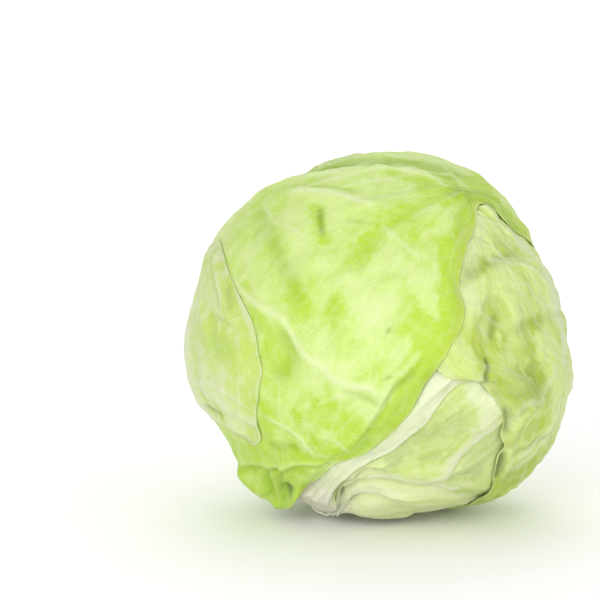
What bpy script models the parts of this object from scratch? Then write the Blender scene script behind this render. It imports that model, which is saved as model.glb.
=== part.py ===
"""A head of green cabbage: a cut stem, a tight heart, and the leaves that wrap round it.

X is to the right, Y to the back and Z up, in metres. The head stands on a small flat spot, whose middle is
the origin.

Leaves are laid out by places on the head. A place is a bearing and a turn in degrees, as the head is seen from
the front and a little above. The bearing runs anticlockwise from the right. The turn is 0 in the middle of the
front, 90 on the head's outline and 180 in the middle of the back.
"""

import math
from dataclasses import dataclass

import bmesh
import bpy
import numpy as np
from mathutils import Matrix, Vector
from mathutils.bvhtree import BVHTree

# The head: its outline's radius at every 15 degrees of bearing, and its half depth
OUTLINE_RADII = (
    0.0907, 0.0890, 0.0844, 0.0901, 0.0928, 0.0900, 0.0879, 0.0880, 0.0845, 0.0869, 0.0914, 0.0883,
    0.0923, 0.0935, 0.0882, 0.0900, 0.0900, 0.0840, 0.0905, 0.0853, 0.0941, 0.0977, 0.1000, 0.0969,
)
HALF_DEPTH = 0.090
MIDDLE_HEIGHT = 0.0885
VIEW_RISE = math.radians(12)

# Leaves
LEAF_THICKNESS = 0.0016
LEAF_GAP = 0.0006
BRIDGING = 0.0015
BASE_RING = 12.5

# The flat spot, how far the heart is kept above it, and how far every other leaf's skin is
SPOT_RADIUS = 0.018
HEART_ROOM = 0.0065
CLEARANCE = 0.0010

# The stem, and the hollow that the leaves' bases make round it
STEM_PLACE = (248, 83)
STEM_RADIUS = 0.0130
STEM_NECK = 0.011
STEM_END = 0.0905
STEM_ROOT = 0.052
STEM_GAP = 0.0004
HOLLOW_DEPTH = 0.014
HOLLOW_REACH = math.radians(18)

# The head leaves between the heart and the wrapper leaves
HEAD_LEAF_COUNT = 6
GOLDEN_ANGLE = 137.5
HEAD_LEAF_BASE = 17
HEAD_LEAF_REACH = (118, 150)
HEAD_LEAF_SPREAD = 62

# Colours, as linear red, green and blue
YELLOW_GREEN = (0.56, 0.78, 0.16)
PALE_GREEN = (0.68, 0.80, 0.36)
GREY_GREEN = (0.60, 0.72, 0.34)
RIB_WHITE = (0.80, 0.86, 0.58)
HEART_YELLOW = (0.82, 0.84, 0.48)
STEM_PINK = (0.84, 0.74, 0.66)


@dataclass(frozen=True)
class Leaf:
    """One leaf: three lines of places from its base to its tip, its colour and how finely it is divided."""

    name: str
    left: tuple
    rib: tuple
    right: tuple
    colour: tuple
    columns: int = 12
    rows: int = 12
    rests: bool = False
    flare_place: tuple = (0, 0)
    flare_reach: float = 0.0
    flare_height: float = 0.0


# From the innermost to the outermost
WRAPPER_LEAVES = (
    Leaf(
        name="base_leaf_5",
        left=((254, 73), (256, 66), (268, 60), (284, 62), (300, 70), (318, 74)),
        rib=((259, 77), (264, 82), (274, 84), (290, 84), (308, 86), (326, 88)),
        right=((261, 86), (264, 102), (272, 116), (288, 124), (306, 126), (330, 118)),
        colour=RIB_WHITE,
    ),
    Leaf(
        name="base_leaf_4",
        left=((252, 71), (254, 62), (268, 50), (288, 50), (306, 52)),
        rib=((255, 73), (256, 67), (266, 59), (284, 62), (302, 66)),
        right=((258, 75), (258, 69), (262, 64), (272, 67), (284, 72), (298, 82)),
        colour=PALE_GREEN,
        columns=10,
    ),
    Leaf(
        name="base_leaf_3",
        left=((249, 70), (254, 56), (262, 46), (280, 41), (302, 40), (322, 42), (338, 48)),
        rib=((252, 71), (255, 60), (264, 51), (280, 50), (296, 51), (314, 52), (330, 54)),
        right=((255, 73), (255, 64), (260, 56), (272, 53), (286, 54), (294, 64), (300, 80), (312, 84)),
        colour=RIB_WHITE,
    ),
    Leaf(
        name="base_leaf_2",
        left=((246, 71), (252, 54), (258, 42), (272, 33), (296, 24), (330, 22), (356, 32)),
        rib=((249, 71), (253, 58), (262, 47), (276, 42), (296, 38), (318, 37), (342, 42)),
        right=((252, 72), (254, 61), (259, 49), (266, 44), (278, 50), (292, 53), (308, 49), (338, 50)),
        colour=PALE_GREEN,
        rows=14,
    ),
    Leaf(
        name="base_leaf_1",
        left=((243, 72), (248, 56), (253, 38), (268, 20), (310, 12), (30, 20), (40, 34)),
        rib=((246, 71), (250, 57), (256, 43), (270, 33), (294, 23), (330, 22), (2, 30), (24, 42)),
        right=((249, 71), (252, 58), (258, 46), (268, 41), (285, 36), (300, 31), (335, 31), (354, 40), (14, 50)),
        colour=RIB_WHITE,
        rows=16,
    ),
    Leaf(
        name="back_left_leaf",
        left=((240, 97), (226, 102), (206, 112), (182, 120), (158, 114), (142, 100), (131, 87)),
        rib=((243, 97), (238, 112), (222, 134), (186, 150), (138, 134), (118, 110), (108, 84)),
        right=((247, 97), (252, 122), (264, 150), (0, 176), (70, 150), (78, 118), (82, 88)),
        colour=GREY_GREEN,
    ),
    Leaf(
        name="back_right_leaf",
        left=((248, 97), (244, 112), (228, 142), (170, 165), (92, 145), (82, 112), (80, 84)),
        rib=((251, 97), (258, 118), (268, 142), (325, 163), (30, 140), (40, 110), (48, 84)),
        right=((255, 94), (266, 114), (284, 130), (314, 140), (348, 134), (12, 116), (26, 98), (34, 82)),
        colour=PALE_GREEN,
    ),
    Leaf(
        name="right_leaf",
        left=(
            (260, 87), (272, 93), (288, 91), (298, 86), (306, 72), (315, 57), (321, 50), (329, 45), (335, 37),
            (347, 35), (337, 32), (332, 25), (345, 15), (40, 22), (60, 40), (66, 50),
        ),
        rib=(
            (259, 91), (266, 102), (280, 108), (300, 110), (322, 106), (342, 98), (2, 86), (26, 74), (56, 60),
        ),
        right=(
            (256, 94), (260, 108), (268, 121), (290, 130), (312, 134), (340, 134), (8, 128), (34, 110), (50, 86),
        ),
        colour=PALE_GREEN,
        columns=16,
        rows=26,
        rests=True,
    ),
    Leaf(
        name="front_leaf",
        left=(
            (236, 94), (222, 104), (206, 117), (178, 113), (150, 104), (130, 90), (112, 85), (94, 86), (78, 95),
            (62, 107), (49, 113), (39, 111),
        ),
        rib=(
            (237, 90), (226, 92), (206, 94), (176, 94), (150, 87), (129, 76), (108, 60), (84, 52), (66, 60),
            (50, 82), (40, 94), (34, 105),
        ),
        right=(
            (238, 87), (240, 85), (244, 76), (246, 62), (249, 48), (264, 40), (291, 27), (319, 19), (345, 20),
            (3, 26), (21, 29), (35, 33), (46, 43), (53, 62), (47, 69), (39, 74), (34, 78), (30, 87), (29, 97),
        ),
        colour=YELLOW_GREEN,
        columns=18,
        rows=28,
        flare_place=(231, 90),
        flare_reach=12,
        flare_height=0.008,
    ),
    Leaf(
        name="left_leaf",
        left=((239, 99), (226, 112), (208, 122), (186, 122), (168, 114), (156, 102), (151, 93)),
        rib=((239, 97), (226, 101), (208, 96), (192, 88), (178, 84), (164, 84), (152, 86)),
        right=(
            (238, 95), (228, 96), (219, 92), (216, 82), (222, 69), (221, 58), (212, 50), (200, 41), (187, 38),
            (172, 42), (159, 55), (152, 68), (149, 80),
        ),
        colour=GREY_GREEN,
        rows=18,
    ),
)


def clear_scene():
    """Removes every object, so that the scene holds only the cabbage."""
    for obj in list(bpy.data.objects):
        bpy.data.objects.remove(obj, do_unlink=True)


def material(name, colour, roughness):
    """A Principled material of one colour."""
    made = bpy.data.materials.new(name)
    made.use_nodes = True
    shader = made.node_tree.nodes["Principled BSDF"]
    shader.inputs["Base Color"].default_value = (*colour, 1.0)
    shader.inputs["Roughness"].default_value = roughness
    shader.inputs["Metallic"].default_value = 0.0
    return made


def direction(place):
    """The unit vector to a place: X right, Y up and Z toward the front of the view."""
    bearing, turn = (math.radians(angle) for angle in place)
    return np.array((math.sin(turn) * math.cos(bearing), math.sin(turn) * math.sin(bearing), math.cos(turn)))


def unit(vectors):
    """The same vectors, each made one long."""
    return vectors / np.linalg.norm(vectors, axis=-1, keepdims=True)


def angle_between(vectors, vector):
    """The angle from each unit vector to another, in radians."""
    return np.arccos(np.clip(vectors @ vector, -1, 1))


def outline_radius(bearings):
    """The outline's radius at each bearing, in radians, on a smooth closed curve through OUTLINE_RADII."""
    steps = len(OUTLINE_RADII)
    position = np.mod(bearings / (2 * math.pi), 1.0) * steps
    index = np.floor(position).astype(int)
    part = position - index
    radii = np.array(OUTLINE_RADII)
    before, start, end, after = (radii[(index + k) % steps] for k in (-1, 0, 1, 2))
    slope_in, slope_out = (end - before) / 2, (after - start) / 2
    return (
        start
        + slope_in * part
        + (3 * (end - start) - 2 * slope_in - slope_out) * part**2
        + (2 * (start - end) + slope_in + slope_out) * part**3
    )


def to_world(seen):
    """Vectors of the view, turned into the head's own X, Y and Z."""
    rise, run = math.sin(VIEW_RISE), math.cos(VIEW_RISE)
    return np.stack(
        (seen[..., 0], rise * seen[..., 1] - run * seen[..., 2], run * seen[..., 1] + rise * seen[..., 2]), axis=-1
    )


def head_surface(directions):
    """For each direction, the outward ray of the head and the radius of its outer surface along that ray."""
    reach = outline_radius(np.arctan2(directions[..., 1], directions[..., 0]))
    seen = directions * np.stack((reach, reach, np.full_like(reach, HALF_DEPTH)), axis=-1)
    points = to_world(seen)
    radius = np.linalg.norm(points, axis=-1)
    rays = points / radius[..., None]
    ground = (MIDDLE_HEIGHT - HEART_ROOM) / np.maximum(-rays[..., 2], 1e-6)
    from_stem = angle_between(directions, direction(STEM_PLACE))
    hollow = HOLLOW_DEPTH * np.exp(-((from_stem / HOLLOW_REACH) ** 2))
    return rays, np.minimum(radius, ground) - hollow


def curve_through(points, count):
    """Unit vectors at equal distances along a smooth curve through the points, which are unit vectors."""
    chords = np.linalg.norm(np.diff(points, axis=0), axis=1)
    knots = np.concatenate(((0.0,), np.cumsum(chords)))
    slopes = np.gradient(points, knots, axis=0)
    fine = np.linspace(0, knots[-1], 12 * count)
    span = np.clip(np.searchsorted(knots, fine, side="right") - 1, 0, len(chords) - 1)
    width = chords[span][:, None]
    part = ((fine - knots[span]) / chords[span])[:, None]
    curve = unit(
        points[span] * (1 + 2 * part) * (1 - part) ** 2
        + slopes[span] * width * part * (1 - part) ** 2
        + points[span + 1] * part**2 * (3 - 2 * part)
        + slopes[span + 1] * width * part**2 * (part - 1)
    )
    run = np.concatenate(((0.0,), np.cumsum(np.linalg.norm(np.diff(curve, axis=0), axis=1))))
    wanted = np.linspace(0, run[-1], count)
    return unit(np.stack([np.interp(wanted, run, curve[:, axis]) for axis in range(3)], axis=-1))


def between(start, end, part):
    """Directions part of the way from start to end, along great circles."""
    angle = np.arccos(np.clip((start * end).sum(axis=-1, keepdims=True), -1, 1)) + 1e-9
    return (np.sin((1 - part) * angle) * start + np.sin(part * angle) * end) / np.sin(angle)


def leaf_grid(left, rib, right, columns):
    """Directions of a leaf's points, row by row from base to tip, from its left edge over its rib to its right."""
    half = columns // 2
    parts = [between(left, rib, column / half) for column in range(half)]
    parts += [between(rib, right, column / half) for column in range(half + 1)]
    return np.stack(parts, axis=1)


def wrapper_directions(leaf):
    """The grid of a wrapper leaf, whose three lines start on a ring round the stem."""
    stem = direction(STEM_PLACE)
    lines = []
    for places in (leaf.left, leaf.rib, leaf.right):
        points = np.array([direction(place) for place in places])
        away = math.acos(float(np.clip(stem @ points[0], -1, 1)))
        base = between(stem, points[0], math.radians(BASE_RING) / away)
        lines.append(curve_through(np.vstack((base, points)), leaf.rows + 1))
    return leaf_grid(*lines, leaf.columns)


def head_leaf_directions(index, columns, rows):
    """The grid of one of the closed head leaves, which are set round the stem by the golden angle."""
    stem = direction(STEM_PLACE)
    side = unit(np.cross(stem, (0.0, 0.0, 1.0)))
    front = np.cross(side, stem)
    heading = math.radians(GOLDEN_ANGLE * index)
    reach = HEAD_LEAF_REACH[0] + (HEAD_LEAF_REACH[1] - HEAD_LEAF_REACH[0]) * (1 - index / (HEAD_LEAF_COUNT - 1))
    polar = np.radians(np.linspace(HEAD_LEAF_BASE, reach, rows + 1))
    swell = np.sin(np.linspace(0.25, 0.86, rows + 1) * math.pi)
    lines = []
    for turn in (-1, 0, 1):
        azimuth = heading + turn * math.radians(HEAD_LEAF_SPREAD) * (0.45 + 0.55 * swell)
        lines.append(
            np.cos(polar)[:, None] * stem
            + (np.sin(polar) * np.cos(azimuth))[:, None] * side
            + (np.sin(polar) * np.sin(azimuth))[:, None] * front
        )
    return leaf_grid(*lines, columns)


def grid_faces(rows, columns):
    """The four-cornered faces of a grid of points numbered row by row."""
    start = (np.arange(rows - 1)[:, None] * columns + np.arange(columns - 1)).ravel()
    return np.stack((start, start + 1, start + columns + 1, start + columns), axis=-1).tolist()


class Head:
    """The head as it grows outward: what is laid so far, and the radius of its surface along any ray."""

    def __init__(self):
        self.middle = Vector((0.0, 0.0, MIDDLE_HEIGHT))
        self.far = 2 * HALF_DEPTH
        self.laid = bmesh.new()
        self.tree = None

    def add(self, mesh):
        """Takes one more solid into the surface."""
        self.laid.from_mesh(mesh)
        self.tree = BVHTree.FromBMesh(self.laid)

    def support(self, rays):
        """The radius at which each ray, coming from outside, first meets what is laid."""
        found = np.zeros(len(rays))
        for index, ray in enumerate(rays):
            ray = Vector(ray)
            hit = self.tree.ray_cast(self.middle + ray * self.far, -ray, self.far)
            if hit[0] is not None:
                found[index] = self.far - hit[3]
        return found


def smooth_grid(values):
    """Each value averaged with its neighbours along both ways of the grid."""
    padded = np.pad(values, 1, mode="edge")
    along = (padded[:-2] + 2 * padded[1:-1] + padded[2:]) / 4
    return (along[:, :-2] + 2 * along[:, 1:-1] + along[:, 2:]) / 4


def drape(head, rays):
    """The radius of a stiff sheet laid over the head: it rests on the high spots and bridges the low ones."""
    shape = rays.shape[:2]
    support = head.support(rays.reshape(-1, 3)).reshape(shape)
    sheet = support
    for _ in range(4):
        sheet = np.maximum(support, smooth_grid(sheet))
    return sheet


def sample_weights(divisions):
    """Corner weights of points spread evenly over a triangle, its corners and edges among them."""
    steps = range(divisions + 1)
    return np.array([(i, j, divisions - i - j) for i in steps for j in steps if i + j <= divisions]) / divisions


def lift_clear(head, rays, sheet, triangles):
    """Raises the sheet's points until its flat triangles clear what is laid by the gap between leaves."""
    weights = sample_weights(7)
    flat_rays = rays.reshape(-1, 3)
    radius = (sheet + LEAF_GAP).ravel()
    for _ in range(5):
        corners = (flat_rays * radius[:, None])[triangles]
        samples = np.einsum("kc,tcx->tkx", weights, corners)
        reach = np.linalg.norm(samples, axis=-1)
        support = head.support((samples / reach[..., None]).reshape(-1, 3)).reshape(reach.shape)
        short = (support + LEAF_GAP - reach).max(axis=1)
        if short.max() < LEAF_GAP / 6:
            break
        raised = np.zeros(len(radius))
        for corner in range(3):
            np.maximum.at(raised, triangles[:, corner], np.maximum(short, 0))
        radius = radius + raised
    return radius.reshape(sheet.shape)


def flat_leaf(rows, columns):
    """A flat triangulated grid, each vertex with its number, and the numbers of its triangles' corners."""
    sheet = bmesh.new()
    bmesh.ops.create_grid(sheet, x_segments=columns - 1, y_segments=rows - 1, size=1.0)
    number = sheet.verts.layers.int.new("number")
    for vert in sheet.verts:
        column = round((vert.co.x + 1) / 2 * (columns - 1))
        row = round((vert.co.y + 1) / 2 * (rows - 1))
        vert[number] = row * columns + column
    bmesh.ops.triangulate(sheet, faces=sheet.faces[:], quad_method="FIXED")
    triangles = np.array([[vert[number] for vert in face.verts] for face in sheet.faces])
    return sheet, number, triangles


def thicken(name, sheet, number, inner, outer):
    """Makes the flat grid a closed leaf between its inner and its outer points."""
    raised = bmesh.ops.extrude_face_region(sheet, geom=sheet.faces[:], use_keep_orig=True)["geom"]
    top = {element for element in raised if isinstance(element, bmesh.types.BMVert)}
    for vert in sheet.verts:
        vert.co = (outer if vert in top else inner)[vert[number]]
    bmesh.ops.recalc_face_normals(sheet, faces=sheet.faces[:])
    if sheet.calc_volume(signed=True) < 0:
        bmesh.ops.reverse_faces(sheet, faces=sheet.faces[:])
    mesh = bpy.data.meshes.new(name)
    sheet.to_mesh(mesh)
    sheet.free()
    return mesh


def finish(name, mesh, finish_material):
    """Makes the mesh a named, smooth-shaded object."""
    mesh.materials.append(finish_material)
    mesh.shade_smooth()
    mesh.set_sharp_from_angle(angle=math.radians(50))
    obj = bpy.data.objects.new(name, mesh)
    bpy.context.scene.collection.objects.link(obj)
    return obj


def rest_outer(outer, rests):
    """Keeps a leaf's outer points above the ground, and lays those of the resting leaf flat on it."""
    low = outer[:, 2] < CLEARANCE
    outer[low, 2] = CLEARANCE
    if rests:
        spot = np.hypot(outer[:, 0], outer[:, 1]) < SPOT_RADIUS
        spot &= outer[:, 2] < MIDDLE_HEIGHT
        outer[spot, 2] = 0.0
    return outer


def flare(leaf, directions):
    """How far the leaf stands off the head at each point, where its edge flares."""
    if leaf is None or not leaf.flare_height:
        return np.zeros(directions.shape[:2])
    away = angle_between(directions, direction(leaf.flare_place))
    return leaf.flare_height * np.exp(-((away / math.radians(leaf.flare_reach)) ** 2))


def lay_leaf(head, name, directions, colour, leaf=None):
    """Lays one leaf over what is there and adds it to the head."""
    rows, columns = directions.shape[:2]
    sheet, number, triangles = flat_leaf(rows, columns)
    rays, _ = head_surface(directions)
    radius = lift_clear(head, rays, drape(head, rays), triangles) + flare(leaf, directions)
    rests = leaf is not None and leaf.rests
    middle = np.array(head.middle)
    inner = middle + (rays * radius[..., None]).reshape(-1, 3)
    outer = middle + (rays * (radius + LEAF_THICKNESS)[..., None]).reshape(-1, 3)
    mesh = thicken(name, sheet, number, inner, rest_outer(outer, rests))
    head.add(mesh)
    return finish(name, mesh, material(f"{name}_skin", colour, 0.45))


def coverage(directions, grids):
    """How many leaves lie over each direction."""
    counts = np.zeros(len(directions))
    for grid in grids:
        rows, columns = grid.shape[:2]
        tree = BVHTree.FromPolygons(grid.reshape(-1, 3).tolist(), grid_faces(rows, columns))
        for index, ray in enumerate(directions):
            counts[index] += tree.ray_cast(Vector(), Vector(ray))[0] is not None
    return counts


def make_heart(head, grids):
    """The heart: the head's surface less the leaves that lie over it, with a socket for the stem."""
    ball = bmesh.new()
    bmesh.ops.create_icosphere(ball, subdivisions=4, radius=1.0)
    directions = unit(np.array([vert.co[:] for vert in ball.verts]))
    layers = coverage(directions, grids)
    neighbours = [[edge.other_vert(vert).index for edge in vert.link_edges] for vert in ball.verts]
    for _ in range(4):
        layers = np.array([(layers[i] + layers[near].mean()) / 2 for i, near in enumerate(neighbours)])
    rays, radius = head_surface(directions)
    radius = radius - layers * (LEAF_THICKNESS + LEAF_GAP) - BRIDGING
    for vert, point in zip(ball.verts, rays * radius[:, None]):
        vert.co = head.middle + Vector(point)
    mesh = bpy.data.meshes.new("heart")
    ball.to_mesh(mesh)
    ball.free()
    return mesh


def stem_axis():
    """The unit vector from the head's middle out along the stem."""
    return Vector(head_surface(direction(STEM_PLACE)[None])[0][0])


def turned_stem(start, end, neck, radius):
    """A round peg along the stem's axis, from one distance out of the head's middle to another."""
    peg = bmesh.new()
    axis = stem_axis()
    length = end - start
    place = Matrix.Translation(Vector((0, 0, MIDDLE_HEIGHT)) + axis * (start + length / 2))
    turn = Vector((0, 0, 1)).rotation_difference(axis).to_matrix().to_4x4()
    bmesh.ops.create_cone(
        peg, cap_ends=True, segments=24, radius1=neck, radius2=radius, depth=length, matrix=place @ turn
    )
    return peg


def cut_socket(mesh):
    """Cuts the stem's socket out of the heart."""
    heart = bpy.data.objects.new("heart", mesh)
    bpy.context.scene.collection.objects.link(heart)
    socket_mesh = bpy.data.meshes.new("socket")
    peg = turned_stem(STEM_ROOT - STEM_GAP, STEM_END, STEM_NECK + STEM_GAP, STEM_RADIUS + STEM_GAP)
    peg.to_mesh(socket_mesh)
    peg.free()
    socket = bpy.data.objects.new("stem_socket", socket_mesh)
    bpy.context.scene.collection.objects.link(socket)
    socket.hide_render = True
    socket.display_type = "WIRE"
    cut = heart.modifiers.new("socket", "BOOLEAN")
    cut.operation = "DIFFERENCE"
    cut.object = socket
    mesh.materials.append(material("heart_skin", HEART_YELLOW, 0.5))
    mesh.shade_smooth()
    return heart


def make_stem():
    """The stem: a peg in the heart, with its cut end showing and a worn edge."""
    peg = turned_stem(STEM_ROOT, STEM_END, STEM_NECK, STEM_RADIUS)
    axis = stem_axis()
    cut_face = max(peg.faces, key=lambda face: face.calc_center_median().dot(axis))
    rim = list(cut_face.edges)
    bmesh.ops.bevel(peg, geom=rim, offset=0.0015, segments=2, affect="EDGES", profile=0.5)
    mesh = bpy.data.meshes.new("stem")
    peg.to_mesh(mesh)
    peg.free()
    return finish("stem", mesh, material("stem_skin", STEM_PINK, 0.6))


def main():
    """Builds the stem, the heart and each leaf from the inside out."""
    clear_scene()
    head = Head()
    head_grids = [head_leaf_directions(index, 10, 11) for index in range(HEAD_LEAF_COUNT)]
    wrapper_grids = [wrapper_directions(leaf) for leaf in WRAPPER_LEAVES]
    heart_mesh = make_heart(head, head_grids + wrapper_grids)
    head.add(heart_mesh)
    cut_socket(heart_mesh)
    stem = make_stem()
    head.add(stem.data)
    for index, grid in enumerate(head_grids):
        lay_leaf(head, f"head_leaf_{index + 1}", grid, HEART_YELLOW)
    for leaf, grid in zip(WRAPPER_LEAVES, wrapper_grids):
        lay_leaf(head, leaf.name, grid, leaf.colour, leaf)


main()
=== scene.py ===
"""The looks of a head of green cabbage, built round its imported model.

The head lies on its side on a small flat spot. Each outer leaf is a fine grid spread between three lines
over the head: its left edge, its rib and its right edge, all running from its base at the stem to its tip.
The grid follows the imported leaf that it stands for, and gets its veins, blisters, folds and rolled rims as
real relief.

A place on the head is two angles in degrees: the bearing, anticlockwise from the right as seen from the
front, and the turn away from the middle of the front, which is 90 on the outline and 180 in the middle of
the back.
"""

import logging
import math
from dataclasses import dataclass, replace
from enum import Enum

import bpy
import numpy as np
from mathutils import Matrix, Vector, noise
from mathutils.bvhtree import BVHTree


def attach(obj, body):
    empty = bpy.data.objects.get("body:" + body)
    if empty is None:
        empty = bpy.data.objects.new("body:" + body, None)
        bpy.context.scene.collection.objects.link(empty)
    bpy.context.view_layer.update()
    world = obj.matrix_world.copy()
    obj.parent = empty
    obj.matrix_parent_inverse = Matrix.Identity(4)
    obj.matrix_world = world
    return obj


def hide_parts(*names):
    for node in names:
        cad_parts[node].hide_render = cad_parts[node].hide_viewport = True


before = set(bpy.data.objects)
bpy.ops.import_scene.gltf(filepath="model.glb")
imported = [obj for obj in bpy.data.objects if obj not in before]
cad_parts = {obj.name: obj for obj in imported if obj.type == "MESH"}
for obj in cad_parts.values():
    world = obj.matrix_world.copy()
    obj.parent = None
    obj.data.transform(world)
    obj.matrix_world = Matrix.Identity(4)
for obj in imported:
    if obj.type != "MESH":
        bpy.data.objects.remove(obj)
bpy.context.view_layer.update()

Place = tuple[float, float]
Colour = tuple[float, float, float]
Spot = tuple[float, float, float]
Noise = tuple[float, float, int]
Tree = tuple[BVHTree, np.ndarray, float]
Value = bpy.types.NodeSocket | float | Colour

LOG = logging.getLogger("green_cabbage")
MM = 0.001
TINY = 1e-9

# The head: its outline's radius in metres at every 15 degrees of bearing
OUTLINE_RADII = (
    0.0918, 0.0903, 0.0884, 0.0911, 0.0931, 0.0919, 0.0903, 0.0900, 0.0902, 0.0935, 0.0942, 0.0925,
    0.0952, 0.0960, 0.0918, 0.0977, 0.0997, 0.0877, 0.0905, 0.0869, 0.0973, 0.1002, 0.1012, 0.0975,
)
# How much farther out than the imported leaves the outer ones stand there, in metres at the same bearings
OUTLINE_STAND = (
    -0.0018, -0.0008, 0.0002, -0.0015, 0.0014, 0.0003, 0.0022, 0.0026, 0.0008, 0.0009, 0.0011, -0.0028,
    -0.0006, -0.0008, 0.0000, -0.0015, 0.0000, -0.0010, 0.0000, 0.0000, 0.0000, -0.0010, -0.0006, -0.0012,
)
# The cosine of the turn at which that has faded out
OUTLINE_REACH = 0.5
# Half its depth, the height of its middle over the floor, and how far above level the view of it is
HALF_DEPTH = 0.0915
MIDDLE_HEIGHT = 0.0885
VIEW_RISE = math.radians(12)
# The radius that turns angles into distances along the head, and the gap between two pieces
SURFACE_RADIUS = 0.091
GAP = 0.15 * MM
# The stem's place, the ring round it where the leaves start, and the least radius that they keep beside it
STEM_PLACE: Place = (248, 83)
FOOT_RING = math.radians(9.0)
SKIRT_RADIUS = 0.080
SKIRT_REACH = math.radians(8)
SKIRT_FALL = 0.08

# The photograph's frame: its side and the middle of the head in pixels, and the size of a pixel at the head
FRAME_PIXELS = 600
HEAD_PIXEL = (379.5, 336.0)
PIXEL = 0.491 * MM
FRAME_WIDTH = FRAME_PIXELS * PIXEL
# The camera stands this far away, a little left of the head's middle and above it
CAMERA_DISTANCE = 5.0
CAMERA_LEFT = (HEAD_PIXEL[0] - FRAME_PIXELS / 2) * PIXEL
CAMERA_ABOVE = (HEAD_PIXEL[1] - FRAME_PIXELS / 2) * PIXEL
CAMERA_REACH = 50.0
SENSOR_WIDTH = 36.0

# How many fine steps a curve is measured in for each of its points
CURVE_STEPS = 8
# How many rounds of smoothing take off a packed leaf's facets, how many may fill the places past its edges,
# and the share of real places below which a place is filled
FACET_ROUNDS = 40
FILL_ROUNDS = 6
LEAST_SHARE = 0.02
# How many rounds stretch a leaf over the hollows, and bend its edge down to what lies below
SHEET_ROUNDS = 120
TUCK_ROUNDS = 30
# How many pieces are laid before the leaf that rests on the floor. Under the head, each ends a gap higher
# than the next, and no ray is taken to fall less than this
LAID_BEFORE_REST = 15
LEAST_FALL = 0.001
# A piece whose mean direction is shorter counts as closed; the cone that holds a piece has this margin
CLOSED_MEAN = 0.05
CONE_MARGIN = 0.01

# Kinds of noise: how fast their octaves weaken, how much finer each one is, and how many there are
PATCH_NOISE: Noise = (0.8, 2.0, 3)
STRAY_NOISE: Noise = (0.8, 2.0, 4)
FOLD_NOISE: Noise = (0.9, 2.1, 2)
WAVE_NOISE: Noise = (0.9, 2.1, 4)
RUFFLE_NOISE: Noise = (0.7, 2.0, 3)
# How fine each noise is over the head, and how strongly a patch's edge frays
PATCH_SCALE = 16
PATCH_FRAY = 0.7
WAVE_SCALE = 42
RUFFLE_SCALE = 11
WOBBLE_SCALE = 5
# The vector noise that bends the small veins takes the clock as its seed unless it is given one
NOISE_SEED = 7

# A stroke: the step along its line, its fewest points, how many widths it reaches, and how it fades out
STROKE_STEP = 0.5 * MM
STROKE_POINTS = 4
STROKE_REACH = 3
PATCH_FADE = (0.35, 1.7)
END_FADE = (-0.06, 0.14)

# A leaf's edge: the share of its thickness and of its relief that is left there, and over what width
THIN_SHARE = 0.35
THIN_REACH = 12 * MM
FLAT_SHARE = 0.12
FLAT_REACH = 8 * MM
# The level, depth and width of its waves, the length and fading of the bends in its line, and its pale rim
RUFFLE_LEVEL = 0.55
RUFFLE_DEPTH = 0.9
RUFFLE_REACH = 7 * MM
STRAY_LENGTH = 9 * MM
STRAY_FADE = (2 * MM, 12 * MM)
RIM_PALE = 0.3
RIM_WIDTH = 0.8 * MM
# A leaf's base: the share of its relief that is left at the stem, over what width, and where the folds start
ROOT_SHARE = 0.3
ROOT_REACH = 13 * MM
FOLD_START = (12 * MM, 38 * MM)
FOLD_STEP = 14
# Where the whitish base begins to fade, and how much farther out it reaches along the folds
WHITISH_SOLID = 0.3
WHITISH_FINGERS = 0.3
# The height at which thin veins run along the folds, their width there, and the depth of the green hollows
FOLD_VEIN = 0.1
FOLD_VEIN_WIDTH = 0.09
HOLLOW_DEPTH = 0.7
# The small veins: how much their cells are bent, how wide the lines are, and how pale they are
CELL_BEND = 0.35
CELL_BEND_SCALE = 0.9
CELL_LINE = 0.09
CELL_LEVEL = 0.4
NET_PALE = 0.14
# The rib's taper and how it sinks toward the tip
RIB_TAPER = 0.86
RIB_SINK = 0.7
# The side veins: how they lean back and bend, wobble, lie apart and fade
SIDE_PALE = 0.6
SIDE_LEAN = 0.55
SIDE_BEND = 0.9
SIDE_WOBBLE = 0.35
SIDE_SPACING = 0.82
SIDE_SINK = 0.55
SIDE_SINK_SPAN = (10 * MM, 60 * MM)
SIDE_START = (2 * MM, 14 * MM)


def unit(vectors: np.ndarray) -> np.ndarray:
    """Scales vectors to length one.

    Args:
        vectors: Any array whose last axis is x, y, z.

    Returns:
        The same directions with length one.
    """
    return vectors / np.linalg.norm(vectors, axis=-1, keepdims=True)


def direction(place: Place) -> np.ndarray:
    """Turns a place into a direction of the front view: right, up and toward the viewer.

    Args:
        place: Bearing and turn in degrees.

    Returns:
        A unit vector.
    """
    bearing, turn = math.radians(place[0]), math.radians(place[1])
    return np.array((math.sin(turn) * math.cos(bearing), math.sin(turn) * math.sin(bearing), math.cos(turn)))


def at_bearing(table: tuple[float, ...], bearings: np.ndarray) -> np.ndarray:
    """A table's value at each bearing, on a smooth closed curve through its values.

    Args:
        table: Values at equal steps of bearing.
        bearings: Angles in radians.

    Returns:
        A value for each angle.
    """
    steps = len(table)
    position = np.mod(bearings / (2 * math.pi), 1.0) * steps
    index = np.floor(position).astype(int)
    part = position - index
    radii = np.array(table)
    before, start, end, after = (radii[(index + k) % steps] for k in (-1, 0, 1, 2))
    slope_in, slope_out = (end - before) / 2, (after - start) / 2
    return (
        start
        + slope_in * part
        + (3 * (end - start) - 2 * slope_in - slope_out) * part**2
        + (2 * (start - end) + slope_in + slope_out) * part**3
    )


def to_world(seen: np.ndarray) -> np.ndarray:
    """Turns vectors of the front view into the head's own X, Y and Z.

    Args:
        seen: Vectors of right, up and toward the viewer.

    Returns:
        The same vectors as X, Y and Z.
    """
    rise, run = math.sin(VIEW_RISE), math.cos(VIEW_RISE)
    right, up, toward = (seen[..., axis] for axis in range(3))
    return np.stack((right, rise * up - run * toward, run * up + rise * toward), axis=-1)


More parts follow.
